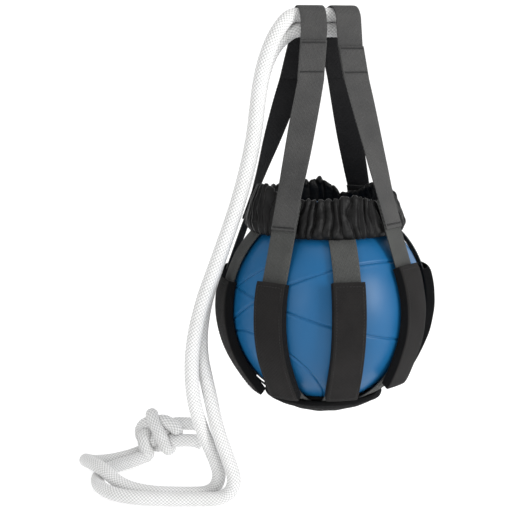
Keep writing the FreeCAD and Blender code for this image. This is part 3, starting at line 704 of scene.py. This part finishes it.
SLEEVE_WALL = 1.3 * MM
SLEEVE_ROWS = 76
SLEEVE_FLARE = 5.5 * MM
SLEEVE_FLARE_RUN = math.radians(22)
SLEEVE_PUFFED = 6 * MM              # the skin further out than this is the outer face
SLEEVE_CROWN, SLEEVE_SINK = 0.9 * MM, 0.5 * MM
SLEEVE_END_RUN, SLEEVE_END_PINCH = 9 * MM, 0.10


def sleeve_flare(latitude, slide):
    """How far a sleeve's stiff lower end stands off, because it doesn't follow the ball there."""
    share = max(0.0, (SLEEVE_LOW + slide + SLEEVE_FLARE_RUN - latitude) / SLEEVE_FLARE_RUN)
    return SLEEVE_FLARE * share ** 2


def sleeve_crown(across):
    """How far the outer face stands off its plain radius, rounded over its width."""
    edge = abs(across) / (SLEEVE_WIDTH / 2)
    return SLEEVE_CROWN * (1 - edge ** 2) - SLEEVE_SINK


def sleeve_skin(number, azimuth, latitudes, along, slide, grow):
    """Points of one skin of a sleeve, moved in from its outside by grow."""
    side = sideways(azimuth)
    outline = sleeve_outline(grow)
    points = np.zeros((len(latitudes), len(outline), 3))
    for i, latitude in enumerate(latitudes):
        normal = ball_normal(azimuth, latitude)
        near_end = max(0.0, 1.0 - min(along[i], along[-1] - along[i]) / SLEEVE_END_RUN)
        pinch = 1.0 - SLEEVE_END_PINCH * near_end ** 2
        for j, (across, height) in enumerate(outline):
            lift = height - SLEEVE_INNER
            radius = SLEEVE_INNER + lift * pinch + sleeve_flare(latitude, slide)
            if lift > SLEEVE_PUFFED:
                spot = Vector((along[i] / 0.022, across / 0.016, number * 3.7))
                radius += sleeve_crown(across) + 0.45 * MM * noise.noise(spot)
            spot = Vector((along[i] / 0.03, number * 5.1, np.sign(across)))
            bow = 1.0 + 0.012 * noise.noise(spot)
            points[i, j] = BALL + normal * radius + side * across * bow
    return points


def build_sleeve(number, azimuth, slide):
    rows = SLEEVE_ROWS
    latitudes = np.linspace(SLEEVE_LOW, SLEEVE_HIGH, rows) + slide
    along = (latitudes - latitudes[0]) * SLEEVE_OUTER
    skins = [
        sleeve_skin(number, azimuth, latitudes, along, slide, grow) for grow in (0.0, SLEEVE_WALL)
    ]
    outline = sleeve_outline(0.0)
    cols = len(outline)
    faces, corner_rows, corner_cols = grid_faces(rows, cols, True)
    around = along_lengths(np.concatenate([outline, outline[:1]]))
    uvs = np.stack([around[corner_cols], along[corner_rows]], axis=2).reshape(-1, 2)
    inner_faces = faces[:, ::-1] + rows * cols
    rims = []
    for k in range(cols):
        n = (k + 1) % cols
        rims.append([n, k, rows * cols + k, rows * cols + n])
        last = (rows - 1) * cols
        rims.append([last + k, last + n, rows * cols + last + n, rows * cols + last + k])
    verts = np.concatenate([skins[0].reshape(-1, 3), skins[1].reshape(-1, 3)])
    all_faces = np.concatenate([faces, inner_faces, np.array(rims)])
    inner_uvs = uvs.reshape(-1, 4, 2)[:, ::-1].reshape(-1, 2)
    rim_uvs = np.zeros((len(rims) * 4, 2))
    piece = make_piece(
        f"sleeve_cover_{number}", verts, all_faces, [sleeve_cloth, edge_cloth],
        np.concatenate([uvs, inner_uvs, rim_uvs]),
    )
    middle = outline[:, 1]
    face_height = (middle + np.roll(middle, -1)) / 2
    dark_column = face_height < SLEEVE_OUTER - 0.9 * MM
    index = np.concatenate([
        dark_column[corner_cols[:, 0]], np.ones(len(inner_faces), bool), np.ones(len(rims), bool),
    ]).astype(int)
    piece.data.polygons.foreach_set("material_index", index)
    stand_in(piece, "bag", "sleeve_fabric", f"sleeve_{number}", f"sleeve_pad_{number}")


STITCH_PITCH = 3.6 * MM
STITCH_LENGTH = 2.5 * MM
STITCH_INSET, STITCH_END_INSET = 3.2 * MM, 5.0 * MM
STITCH_SINK = 0.1 * MM


def sleeve_stitches(azimuth, slide):
    """Start, end and normal of each stitch round the outer face of a sleeve."""
    side = sideways(azimuth)
    half = SLEEVE_WIDTH / 2 - STITCH_INSET

    def place(latitude, across):
        normal = ball_normal(azimuth, latitude)
        radius = SLEEVE_OUTER - STITCH_SINK + sleeve_crown(across) + sleeve_flare(latitude, slide)
        return BALL + normal * radius + side * across, normal

    inset = STITCH_END_INSET / SLEEVE_OUTER
    length = STITCH_LENGTH / SLEEVE_OUTER
    low, high = SLEEVE_LOW + slide + inset, SLEEVE_HIGH + slide - inset
    rows = []
    for across in (-half, half):
        for latitude in np.arange(low, high - length, STITCH_PITCH / SLEEVE_OUTER):
            start, normal = place(latitude, across)
            rows.append((start, place(latitude + length, across)[0], normal))
    for latitude in (low, high):
        for across in np.arange(-half, half - STITCH_LENGTH, STITCH_PITCH):
            start, normal = place(latitude, across)
            rows.append((start, place(latitude, across + STITCH_LENGTH)[0], normal))
    return rows


def build_sleeves():
    rows = []
    for number, (azimuth, slide) in enumerate(zip(ARM_AZIMUTHS, SLEEVE_SLIDES), start=1):
        build_sleeve(number, azimuth, math.radians(slide))
        rows += sleeve_stitches(azimuth, math.radians(slide))
    stand_in(make_stitches("sleeve_stitching", rows, 0.7 * MM, 0.3 * MM), "bag", "thread")


# ---- base

BASE_EDGE = math.radians(-57)
BASE_ROUND = 0.02                   # radians of the ball that the rolled edge takes
BASE_INNER, BASE_OUTER = 120.6 * MM, 127 * MM
BASE_SPOKES = 180
BASE_SEAM_INSET, BASE_SEAM_WIDTH, BASE_SEAM_DEPTH = 6 * MM, 2.2 * MM, 1.6 * MM
BASE_WOBBLE = 0.7 * MM
BASE_CLOTH_RADIUS = 50 * MM         # where the weave is drawn at its own size


def build_base():
    """Padded round base, puffed between its rim stitching and its middle."""
    turn = np.linspace(0, 2 * math.pi, BASE_SPOKES + 1)[:-1]
    half = (BASE_OUTER - BASE_INNER) / 2
    skin = np.linspace(-math.pi / 2 + 0.002, BASE_EDGE - BASE_ROUND, 24)
    profile = [(a, BASE_INNER) for a in skin]
    for a in np.linspace(-math.pi / 2, math.pi / 2, 10):
        level = (BASE_INNER + BASE_OUTER) / 2 + half * math.sin(a)
        profile.append((BASE_EDGE - BASE_ROUND + BASE_ROUND * math.cos(a), level))
    profile += [(a, BASE_OUTER) for a in skin[::-1]]
    points = np.zeros((len(profile), BASE_SPOKES, 3))
    for i, (latitude, level) in enumerate(profile):
        from_edge = (BASE_EDGE - latitude) * BASE_OUTER
        seam = math.exp(-((from_edge - BASE_SEAM_INSET) / BASE_SEAM_WIDTH) ** 2)
        for j, angle in enumerate(turn):
            c, s = math.cos(angle), math.sin(angle)
            wobble = noise.noise(Vector((c * 3, s * 3, latitude * 9)))
            radius = level
            if level > BASE_INNER + 2 * MM:
                radius += BASE_WOBBLE * wobble - BASE_SEAM_DEPTH * seam
            ring = math.cos(latitude) * radius
            points[i, j] = BALL + [ring * c, ring * s, math.sin(latitude) * radius]
    around = np.append(turn, 2 * math.pi) * BASE_CLOTH_RADIUS
    along = along_lengths(points[:, 0])
    piece = sheet_grid("base_cushion", points, base_cloth, around, along, True, True)
    stand_in(piece, "bag", "base_fabric", "base_cover", "base_pad")


# ---- gathered collar

COLLAR_FOLDS = 54
COLLAR_COLUMNS, COLLAR_ROWS = COLLAR_FOLDS * 18, 64
COLLAR_FOOT = 84.4          # heights are from the centre of the ball, in millimetres
COLLAR_RIM_RADIUS, COLLAR_ROLL = 73.0, 3.2
# The plane of the straps' inner faces (distance out, and the lean's sine and cosine), and how far
# the cloth stays inside it.
STRAP_FACE, LEAN_SINE, LEAN_COSINE, STRAP_ROOM = 117.3, 0.342, 0.94, 3.6
COLLAR_BOTTOM = (79.0, 91.0)        # radius and height where the inside ends, over the ball
COLLAR_PUSH, COLLAR_CRUMPLE, COLLAR_CRINKLE = 4.6, 1.7, 0.35
COLLAR_CLOTH_RADIUS = 115 * MM      # where the weave is drawn at its own size
# Rim height and how far the wall billows, by azimuth: high and full between the straps.
RIM_HEIGHTS = [
    (-106, 126), (-90, 135), (-62, 139), (-42, 130), (-25, 126), (0, 127), (22, 130), (38, 125),
    (52, 121), (75, 125), (105, 129), (130, 131), (148, 121), (162, 117), (172, 127), (181, 135),
    (196, 131), (225, 129), (254, 126),
]
WALL_BILLOWS = [
    (-106, 0), (-85, 6), (-68, 8), (-48, 4), (-32, 0), (-12, 2.5), (15, 3), (38, 1.5), (51, 0),
    (75, 3.5), (97, 5), (125, 3.5), (148, 0), (175, 3), (203, 4), (230, 3), (254, 0),
]


def by_azimuth(table, azimuth):
    """Value of an azimuth table that closes on itself, eased between its entries."""
    places = np.array([p for p, _ in table], float)
    values = np.array([v for _, v in table], float)
    at = (azimuth + 106.0) % 360.0 - 106.0
    k = int(np.clip(np.searchsorted(places, at, side="right") - 1, 0, len(places) - 2))
    share = (at - places[k]) / (places[k + 1] - places[k])
    return values[k] + (values[k + 1] - values[k]) * share * share * (3 - 2 * share)


def collar_line(azimuth):
    """Smooth section at an azimuth: up the outside, over the rim and down the inside, with a
    normal at each point."""
    rim = by_azimuth(RIM_HEIGHTS, azimuth)
    billow = by_azimuth(WALL_BILLOWS, azimuth)
    rim_radius = COLLAR_RIM_RADIUS + 0.45 * billow
    rolled = rim - COLLAR_ROLL
    outside = [(86.0, COLLAR_FOOT), (88.0, COLLAR_FOOT + 3.0)]
    for share in np.linspace(0.14, 0.92, 7):
        height = COLLAR_FOOT + (rim - 3.0 - COLLAR_FOOT) * share
        under_straps = (STRAP_FACE - height * LEAN_SINE) / LEAN_COSINE - STRAP_ROOM
        radius = under_straps + (rim_radius + COLLAR_ROLL - under_straps) * share ** 3
        outside.append((radius + billow * math.sin(math.pi * share) ** 0.7, height))
    turn = np.linspace(0.1, math.pi - 0.1, 6)
    over = [
        (rim_radius + COLLAR_ROLL * math.cos(a), rolled + COLLAR_ROLL * math.sin(a)) for a in turn
    ]
    start = rim_radius - COLLAR_ROLL
    inside = [
        (start + (COLLAR_BOTTOM[0] - start) * k ** 1.3, rolled + (COLLAR_BOTTOM[1] - rolled) * k)
        for k in (0.2, 0.5, 0.8, 1.0)
    ]
    line = np.array(outside + over + inside)
    for _ in range(2):
        line[1:-1] = line[1:-1] * 0.6 + (line[:-2] + line[2:]) * 0.2
    lengths = along_lengths(line)
    at = np.linspace(0, lengths[-1], COLLAR_ROWS)
    line = np.stack([np.interp(at, lengths, line[:, k]) for k in range(2)], axis=1)
    run = unit_rows(np.gradient(line, axis=0))
    return line, np.stack([run[:, 1], -run[:, 0]], axis=1), at


def build_collar():
    """Nylon drawn up on its hem and on the elastic: round ridges with tight valleys between them."""
    turn = np.linspace(0, 2 * math.pi, COLLAR_COLUMNS + 1)[:-1]
    strap_places = [s["azimuth"] for s in STRAPS.values()]
    points = np.zeros((COLLAR_ROWS, COLLAR_COLUMNS, 3))
    for j, angle in enumerate(turn):
        azimuth = math.degrees(angle) + 90.0
        line, normals, lengths = collar_line(azimuth)
        free = min(abs((azimuth - p + 180) % 360 - 180) for p in strap_places)
        room = 0.3 + 0.7 * min(1.0, max(0.0, (free - 9.0) / 9.0))
        spot = Vector((math.cos(angle), math.sin(angle), 0.0))
        for i in range(COLLAR_ROWS):
            share = i / (COLLAR_ROWS - 1)
            level = Vector((0, 0, share * 2.2))
            phase = COLLAR_FOLDS * angle / 2 + 2.6 * noise.noise(spot * 2.6 + level * 1.3)
            phase += 1.1 * noise.noise(spot * 8.0 + level * 2.0 + Vector((7, 3, 1)))
            ridge = abs(math.sin(phase)) ** 0.75 - 0.62
            merge = 0.35 + 0.65 * abs(math.sin(phase / 2 + 2.0 * noise.noise(spot * 1.7 + level)))
            cross = noise.noise(spot * 9.0 + Vector((2, 5, share * 9.0)))
            fine = noise.noise(spot * 30.0 + Vector((4, 1, share * 10.0)))
            wall = 1.0 if share < 0.62 else 0.5
            hem = min(1.0, 0.35 + share / 0.10)
            push = COLLAR_PUSH * ridge * merge + COLLAR_CRUMPLE * cross + COLLAR_CRINKLE * fine
            push *= room * wall * hem
            radius, height = line[i] + normals[i] * push
            points[i, j] = (radius * math.cos(angle), radius * math.sin(angle), height)
    points = points * MM + [0, 0, BALL[2]]
    around = np.append(turn, 2 * math.pi) * COLLAR_CLOTH_RADIUS
    piece = sheet_grid("collar_gathered", points, nylon, around, lengths * MM, True, False)
    thicken = piece.modifiers.new("thickness", "SOLIDIFY")
    thicken.thickness = 0.5 * MM
    stand_in(piece, "bag", "collar_fabric", "collar", "collar_elastic", "collar_tape")


# ---- braided rope

BRAID_STRANDS = 12
BRAID_PITCH = 52 * MM
BRAID_RELIEF = 1.0 * MM
BRAID_STEP = 0.65 * MM
BRAID_COLUMNS = 108
TIP_FLARE, TIP_FLARE_RUN = 0.22, 5 * MM


def spline_line(route):
    """Points of the smooth line that a route's control points give."""
    curve = bpy.data.curves.new("route", "CURVE")
    curve.dimensions = "3D"
    curve.resolution_u = 24
    spline = curve.splines.new("NURBS")
    spline.points.add(len(route) - 1)
    for point, place in zip(spline.points, route):
        point.co = (place[0] * MM, place[1] * MM, place[2] * MM, 1.0)
    spline.order_u = 3
    spline.use_endpoint_u = True
    holder = bpy.data.objects.new("route", curve)
    bpy.context.scene.collection.objects.link(holder)
    bpy.context.view_layer.update()
    evaluated = holder.evaluated_get(bpy.context.evaluated_depsgraph_get())
    mesh = bpy.data.meshes.new_from_object(evaluated)
    line = np.array([v.co for v in mesh.vertices])
    bpy.data.meshes.remove(mesh)
    bpy.data.objects.remove(holder)
    return line


def resample(line, step):
    lengths = along_lengths(line)
    count = max(8, int(round(lengths[-1] / step)) + 1)
    at = np.linspace(0, lengths[-1], count)
    return np.stack([np.interp(at, lengths, line[:, k]) for k in range(3)], axis=1), at


def carried_frames(line):
    """Sides and normals carried along a line without twist."""
    run = unit_rows(np.gradient(line, axis=0))
    start = np.array([0.0, 0.0, 1.0]) if abs(run[0][2]) < 0.9 else np.array([1.0, 0.0, 0.0])
    side = np.cross(start, run[0])
    sides = np.zeros_like(run)
    for k, direction in enumerate(run):
        side = side - direction * np.dot(side, direction)
        side = side / np.linalg.norm(side)
        sides[k] = side
    return sides, np.cross(run, sides)


def braid_relief(turn, along):
    """Height, 0 to 1, of a diamond braid at angles round the rope and distances along it."""
    first = BRAID_STRANDS * (turn / (2 * math.pi) + along / BRAID_PITCH)
    second = BRAID_STRANDS * (turn / (2 * math.pi) - along / BRAID_PITCH)
    over = (np.floor(first) + np.floor(second)) % 2 == 0
    fa, fb = first % 1.0, second % 1.0
    across = np.where(over, fa, fb)
    ahead = np.where(over, fb, fa)
    pillow = np.sqrt(np.clip(1 - (2 * across - 1) ** 2 * 0.97, 0, 1))
    return pillow * (1 - 0.5 * (2 * ahead - 1) ** 2)


def braid_skin(line, phase, tip_flare=0.0):
    """Skin of a braided rope round a line: points, braid heights, centres and distances along."""
    centres, along = resample(line, BRAID_STEP)
    sides, normals = carried_frames(centres)
    turn = np.linspace(0, 2 * math.pi, BRAID_COLUMNS + 1)[:-1]
    relief = braid_relief(turn[None, :], along[:, None] + phase)
    flare = 1.0 + tip_flare * np.exp(-(((along[-1] - along) / TIP_FLARE_RUN) ** 2))
    radius = (ROPE_DIAMETER / 2 - BRAID_RELIEF * 0.8 + BRAID_RELIEF * relief) * flare[:, None]
    points = (
        centres[:, None, :]
        + sides[:, None, :] * (np.cos(turn) * radius)[:, :, None]
        + normals[:, None, :] * (np.sin(turn) * radius)[:, :, None]
    )
    return points, relief, centres, along


def braid_piece(name, points, relief, along):
    around = np.linspace(0, math.pi * ROPE_DIAMETER, BRAID_COLUMNS + 1)
    piece = sheet_grid(name, points, braid, around, along, True, True)
    layer = piece.data.attributes.new("braid_height_painted_shade", "FLOAT", "POINT")
    layer.data.foreach_set("value", relief.ravel().astype(np.float32))
    return piece


def braid_tube(name, line, phase=0.0):
    """A braided rope as one closed skin along a line, and its centre line."""
    points, relief, centres, along = braid_skin(line, phase)
    return braid_piece(name, points, relief, along), centres


# The knot is tied loose from a formula and then pulled tight, both strands together.
KNOT_SPACING = 11.8
KNOT_POINTS = 150
KNOT_STEPS = 700
KNOT_PULL_STEPS = 420
KNOT_SHRINK = 0.9965
KNOT_LENGTH = 246.0
KNOT_TIE_WIDTH = 20.0
KNOT_TIE_LENGTH = 5.5
KNOT_SELF_NEAR = 22 * MM            # nearer than this along it, a strand doesn't press itself


def loose_knot(starts, tips):
    """Two strands, side by side, through a wide open overhand knot; millimetres."""
    middle = np.array(KNOT_MIDDLE, float)
    axis = unit_rows((np.mean(tips, axis=0) - np.mean(starts, axis=0))[None, :])[0]
    side = unit_rows(np.cross(axis, [0, 0, 1.0])[None, :])[0]
    up = np.cross(side, axis)
    t = np.linspace(-2.12, 2.12, KNOT_POINTS)
    ahead = (t ** 5 - 10 * t) * KNOT_TIE_LENGTH
    across = (t ** 3 - 3 * t) * KNOT_TIE_WIDTH
    above = (t ** 4 - 4 * t ** 2 + 2) * KNOT_TIE_WIDTH
    line = middle + ahead[:, None] * axis + across[:, None] * side + above[:, None] * up
    run = unit_rows(np.gradient(line, axis=0))
    offset = unit_rows(np.cross(run, axis + 0.01))
    return [line - offset * KNOT_SPACING / 2, line + offset * KNOT_SPACING / 2]


def tighten(chains, starts, tips, entries):
    """Draw the ends in and shorten both strands while they keep their distance from each other."""
    count = len(chains[0])
    points = np.concatenate(chains)
    chain_of = np.repeat([0, 1], count)
    place = np.tile(np.arange(count), 2)
    same = chain_of[:, None] == chain_of[None, :]
    apart = np.abs(place[:, None] - place[None, :])
    ends = np.array([0, count, count - 1, 2 * count - 1])
    first_ends = points[ends].copy()
    last_ends = np.array([*starts, *tips])
    rest = np.mean(np.linalg.norm(np.diff(chains[0], axis=0), axis=1))
    least = KNOT_LENGTH / (count - 1)
    links = np.concatenate([np.arange(count - 1), np.arange(count, 2 * count - 1)])
    inner = np.concatenate([np.arange(1, count - 1), np.arange(count + 1, 2 * count - 1)])
    lowest = FLOOR_HEIGHT / MM + ROPE_DIAMETER / MM / 2 - 1.0
    for step in range(KNOT_STEPS):
        rest = max(least, rest * KNOT_SHRINK)
        share = min(1.0, step / KNOT_PULL_STEPS)
        held = first_ends + (last_ends - first_ends) * share
        for _ in range(4):
            for half in (links[::2], links[1::2]):
                gap = points[half + 1] - points[half]
                length = np.linalg.norm(gap, axis=1, keepdims=True)
                move = gap * (0.5 * (length - rest) / np.maximum(length, 1e-9))
                points[half] += move
                points[half + 1] -= move
            points[ends] = held
        near = ~(same & (apart * rest < KNOT_SPACING * 1.7))
        gap = points[:, None, :] - points[None, :, :]
        distance = np.linalg.norm(gap, axis=2) + np.eye(len(points))
        push = np.where(near & (distance < KNOT_SPACING), (KNOT_SPACING - distance) / distance, 0.0)
        crowd = np.maximum(1.0, np.sum(push > 0, axis=1, keepdims=True) * 0.45)
        points += 0.5 * np.sum(gap * push[:, :, None], axis=1) / crowd
        points[inner] += 0.12 * ((points[inner - 1] + points[inner + 1]) / 2 - points[inner])
        if share == 1.0:
            points[:, 2] = np.maximum(points[:, 2], lowest)
            for k, entry in enumerate(entries):
                points[k * count + 1] = starts[k] + entry * rest
        points[ends] = held
    return [points[:count], points[count:]]


PRESS_REACH = 1.1 * ROPE_DIAMETER


def press_flat(points, centres, others):
    """Hold each skin point on its own side of the middle between its strand and the others."""
    flat = points.reshape(-1, 3)
    owner = np.repeat(np.arange(len(centres)), points.shape[1])
    home = centres[owner]
    for block in range(0, len(flat), 4000):
        part = slice(block, block + 4000)
        gap = others[None, :, :] - flat[part][:, None, :]
        nearest = np.argmin(np.sum(gap ** 2, axis=2), axis=1)
        towards = others[nearest] - home[part]
        distance = np.linalg.norm(towards, axis=1, keepdims=True)
        direction = towards / np.maximum(distance, 1e-9)
        ahead = np.sum((flat[part] - home[part]) * direction, axis=1, keepdims=True)
        limit = distance / 2 - 0.1 * MM
        excess = np.where(distance < PRESS_REACH, np.maximum(0.0, ahead - limit), 0.0)
        flat[part] -= direction * excess
    return flat.reshape(points.shape)


def knot_tube(name, line, other, phase):
    """One strand through the knot, squashed where it meets itself or the other strand."""
    points, relief, centres, along = braid_skin(line, phase, TIP_FLARE)
    points = press_flat(points, centres, other)
    line_at = along_lengths(line)
    for k in range(0, len(centres), 12):
        rows = slice(k, k + 12)
        far = line[np.abs(line_at - along[min(k + 6, len(along) - 1)]) > KNOT_SELF_NEAR]
        points[rows] = press_flat(points[rows], centres[rows], far)
    return braid_piece(name, points, relief, along)


def build_knot():
    starts = [np.array(FRONT_ROUTE[-1], float), np.array(REAR_ROUTE[-1], float)]
    tips = [np.array(TAIL_TIPS["front"], float), np.array(TAIL_TIPS["rear"], float)]
    entries = [
        unit_rows(np.array([route[-1]], float) - np.array([route[-2]], float))[0]
        for route in (FRONT_ROUTE, REAR_ROUTE)
    ]
    chains = tighten(loose_knot(starts, tips), starts, tips, entries)
    lines = []
    for chain, entry in zip(chains, entries):
        line = np.concatenate([[chain[0] - entry * 3.0], chain])
        for _ in range(6):
            line[1:-1] += 0.5 * ((line[:-2] + line[2:]) / 2 - line[1:-1])
        lines.append(resample(line * MM, 1.2 * MM)[0])
    first = knot_tube("knot_strand_first", lines[0], lines[1], 0.0)
    second = knot_tube("knot_strand_second", lines[1], lines[0], 7 * MM)
    knot = join("rope_knot_tied", [first, second])
    stand_in(knot, "rope", "rope_braid", "rope_knot", "rope_tail_front", "rope_tail_rear")
    return knot


def build_rope():
    knot = build_knot()
    front, front_path = braid_tube("rope_strand_front", spline_line(FRONT_ROUTE))
    rear, rear_path = braid_tube("rope_strand_rear", spline_line(REAR_ROUTE), phase=9 * MM)
    run = np.linspace(ROPE_EXIT, ROPE_TURN, 30)
    bend = np.linspace(math.pi / 2, -math.pi / 2, 30)[1:-1]
    bight = [along_rope(a, 0, ROPE_OFFSET) for a in run]
    bight += [
        along_rope(ROPE_TURN + ROPE_OFFSET * math.cos(b), 0, ROPE_OFFSET * math.sin(b)) for b in bend
    ]
    bight += [along_rope(a, 0, -ROPE_OFFSET) for a in run[::-1]]
    fold, _ = braid_tube("rope_fold", np.array(bight))
    stand_in(fold, "bag", "rope_braid", "rope_bight")
    strands = (
        (front, front_path, "rope_leg_front", ROPE_OFFSET, 0.89),
        (rear, rear_path, "rope_leg_rear", -ROPE_OFFSET, 0.86),
    )
    for piece, path, node, height, length in strands:
        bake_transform(piece)
        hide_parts(node)


# ---- hidden parts, kept from the frame

def finish_hidden():
    """The parts inside the ball and under the base keep their shape and get their finish."""
    hidden = {"ball_filling": foam_grey, "ball_plug": vinyl, "base_lining": base_cloth}
    for node, material in hidden.items():
        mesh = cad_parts[node].data
        mesh.materials.clear()
        mesh.materials.append(material)


# ---- stage, light and camera

BACKDROP_FRONT, BACKDROP_BACK, BACKDROP_TOP = -3.0, 1.6, 3.2
BACKDROP_BEND = 1.4
BACKDROP_HALF_WIDTH = 5.0


def build_stage():
    """White floor that curves up behind the object into a wall."""
    bend = np.linspace(0, math.pi / 2, 24)
    profile = [(BACKDROP_FRONT, FLOOR_HEIGHT)]
    profile += [
        (
            BACKDROP_BACK + BACKDROP_BEND * math.sin(a),
            FLOOR_HEIGHT + BACKDROP_BEND * (1 - math.cos(a)),
        )
        for a in bend
    ]
    profile.append((BACKDROP_BACK + BACKDROP_BEND, BACKDROP_TOP))
    points = np.array([
        [(-BACKDROP_HALF_WIDTH, y, z), (BACKDROP_HALF_WIDTH, y, z)] for y, z in profile
    ])
    white, _, shader = new_material("backdrop_white")
    set_inputs(
        shader, Base_Color=(0.82, 0.82, 0.82, 1.0), Roughness=1.0, Specular_IOR_Level=0.0,
        Emission_Color=(1.0, 1.0, 1.0, 1.0), Emission_Strength=0.44,
    )
    lengths = np.arange(len(profile), dtype=float)
    sheet_grid("backdrop", points, white, np.array([0.0, 1.0]), lengths)
    world = bpy.data.worlds.new("studio")
    bpy.context.scene.world = world
    world.use_nodes = True
    background = world.node_tree.nodes["Background"]
    background.inputs["Color"].default_value = (1.0, 1.0, 1.0, 1.0)
    background.inputs["Strength"].default_value = 0.64


def area_light(name, place, target, size, energy):
    light = bpy.data.lights.new(name, "AREA")
    light.shape = "RECTANGLE"
    light.size, light.size_y = size
    light.energy = energy
    lamp = bpy.data.objects.new(name, light)
    bpy.context.scene.collection.objects.link(lamp)
    lamp.location = place
    aim = Vector(target) - Vector(place)
    lamp.rotation_euler = aim.to_track_quat("-Z", "Y").to_euler()


def build_lights():
    target = Vector(BALL)
    area_light("key_right", (1.25, -0.95, 0.05), target, (0.45, 0.9), 16.0)
    area_light("fill_left", (-0.75, -1.35, 0.1), target, (0.4, 1.0), 4.0)
    area_light("top", (0.1, -0.2, 1.3), target, (1.2, 1.2), 6.0)


CAMERA_DISTANCE = 1.4
CAMERA_LIFT = math.radians(10)
CAMERA_AIM = (-0.080, 0.0, 0.053)


def build_camera():
    camera = bpy.data.cameras.new("camera")
    camera.lens = 86.0
    camera.sensor_width = 36.0
    eye = bpy.data.objects.new("camera", camera)
    bpy.context.scene.collection.objects.link(eye)
    target = Vector(BALL) + Vector(CAMERA_AIM)
    away = Vector((0, -math.cos(CAMERA_LIFT), math.sin(CAMERA_LIFT)))
    eye.location = target + away * CAMERA_DISTANCE
    eye.rotation_euler = (target - eye.location).to_track_quat("-Z", "Y").to_euler()
    bpy.context.scene.camera = eye


build_camera()
build_rope()
build_ball()
build_arms()
build_sleeves()
build_base()
build_collar()
build_straps()
build_loops()
build_tacks()
finish_hidden()
build_stage()
build_lights()
bpy.context.scene.view_settings.view_transform = "Standard"
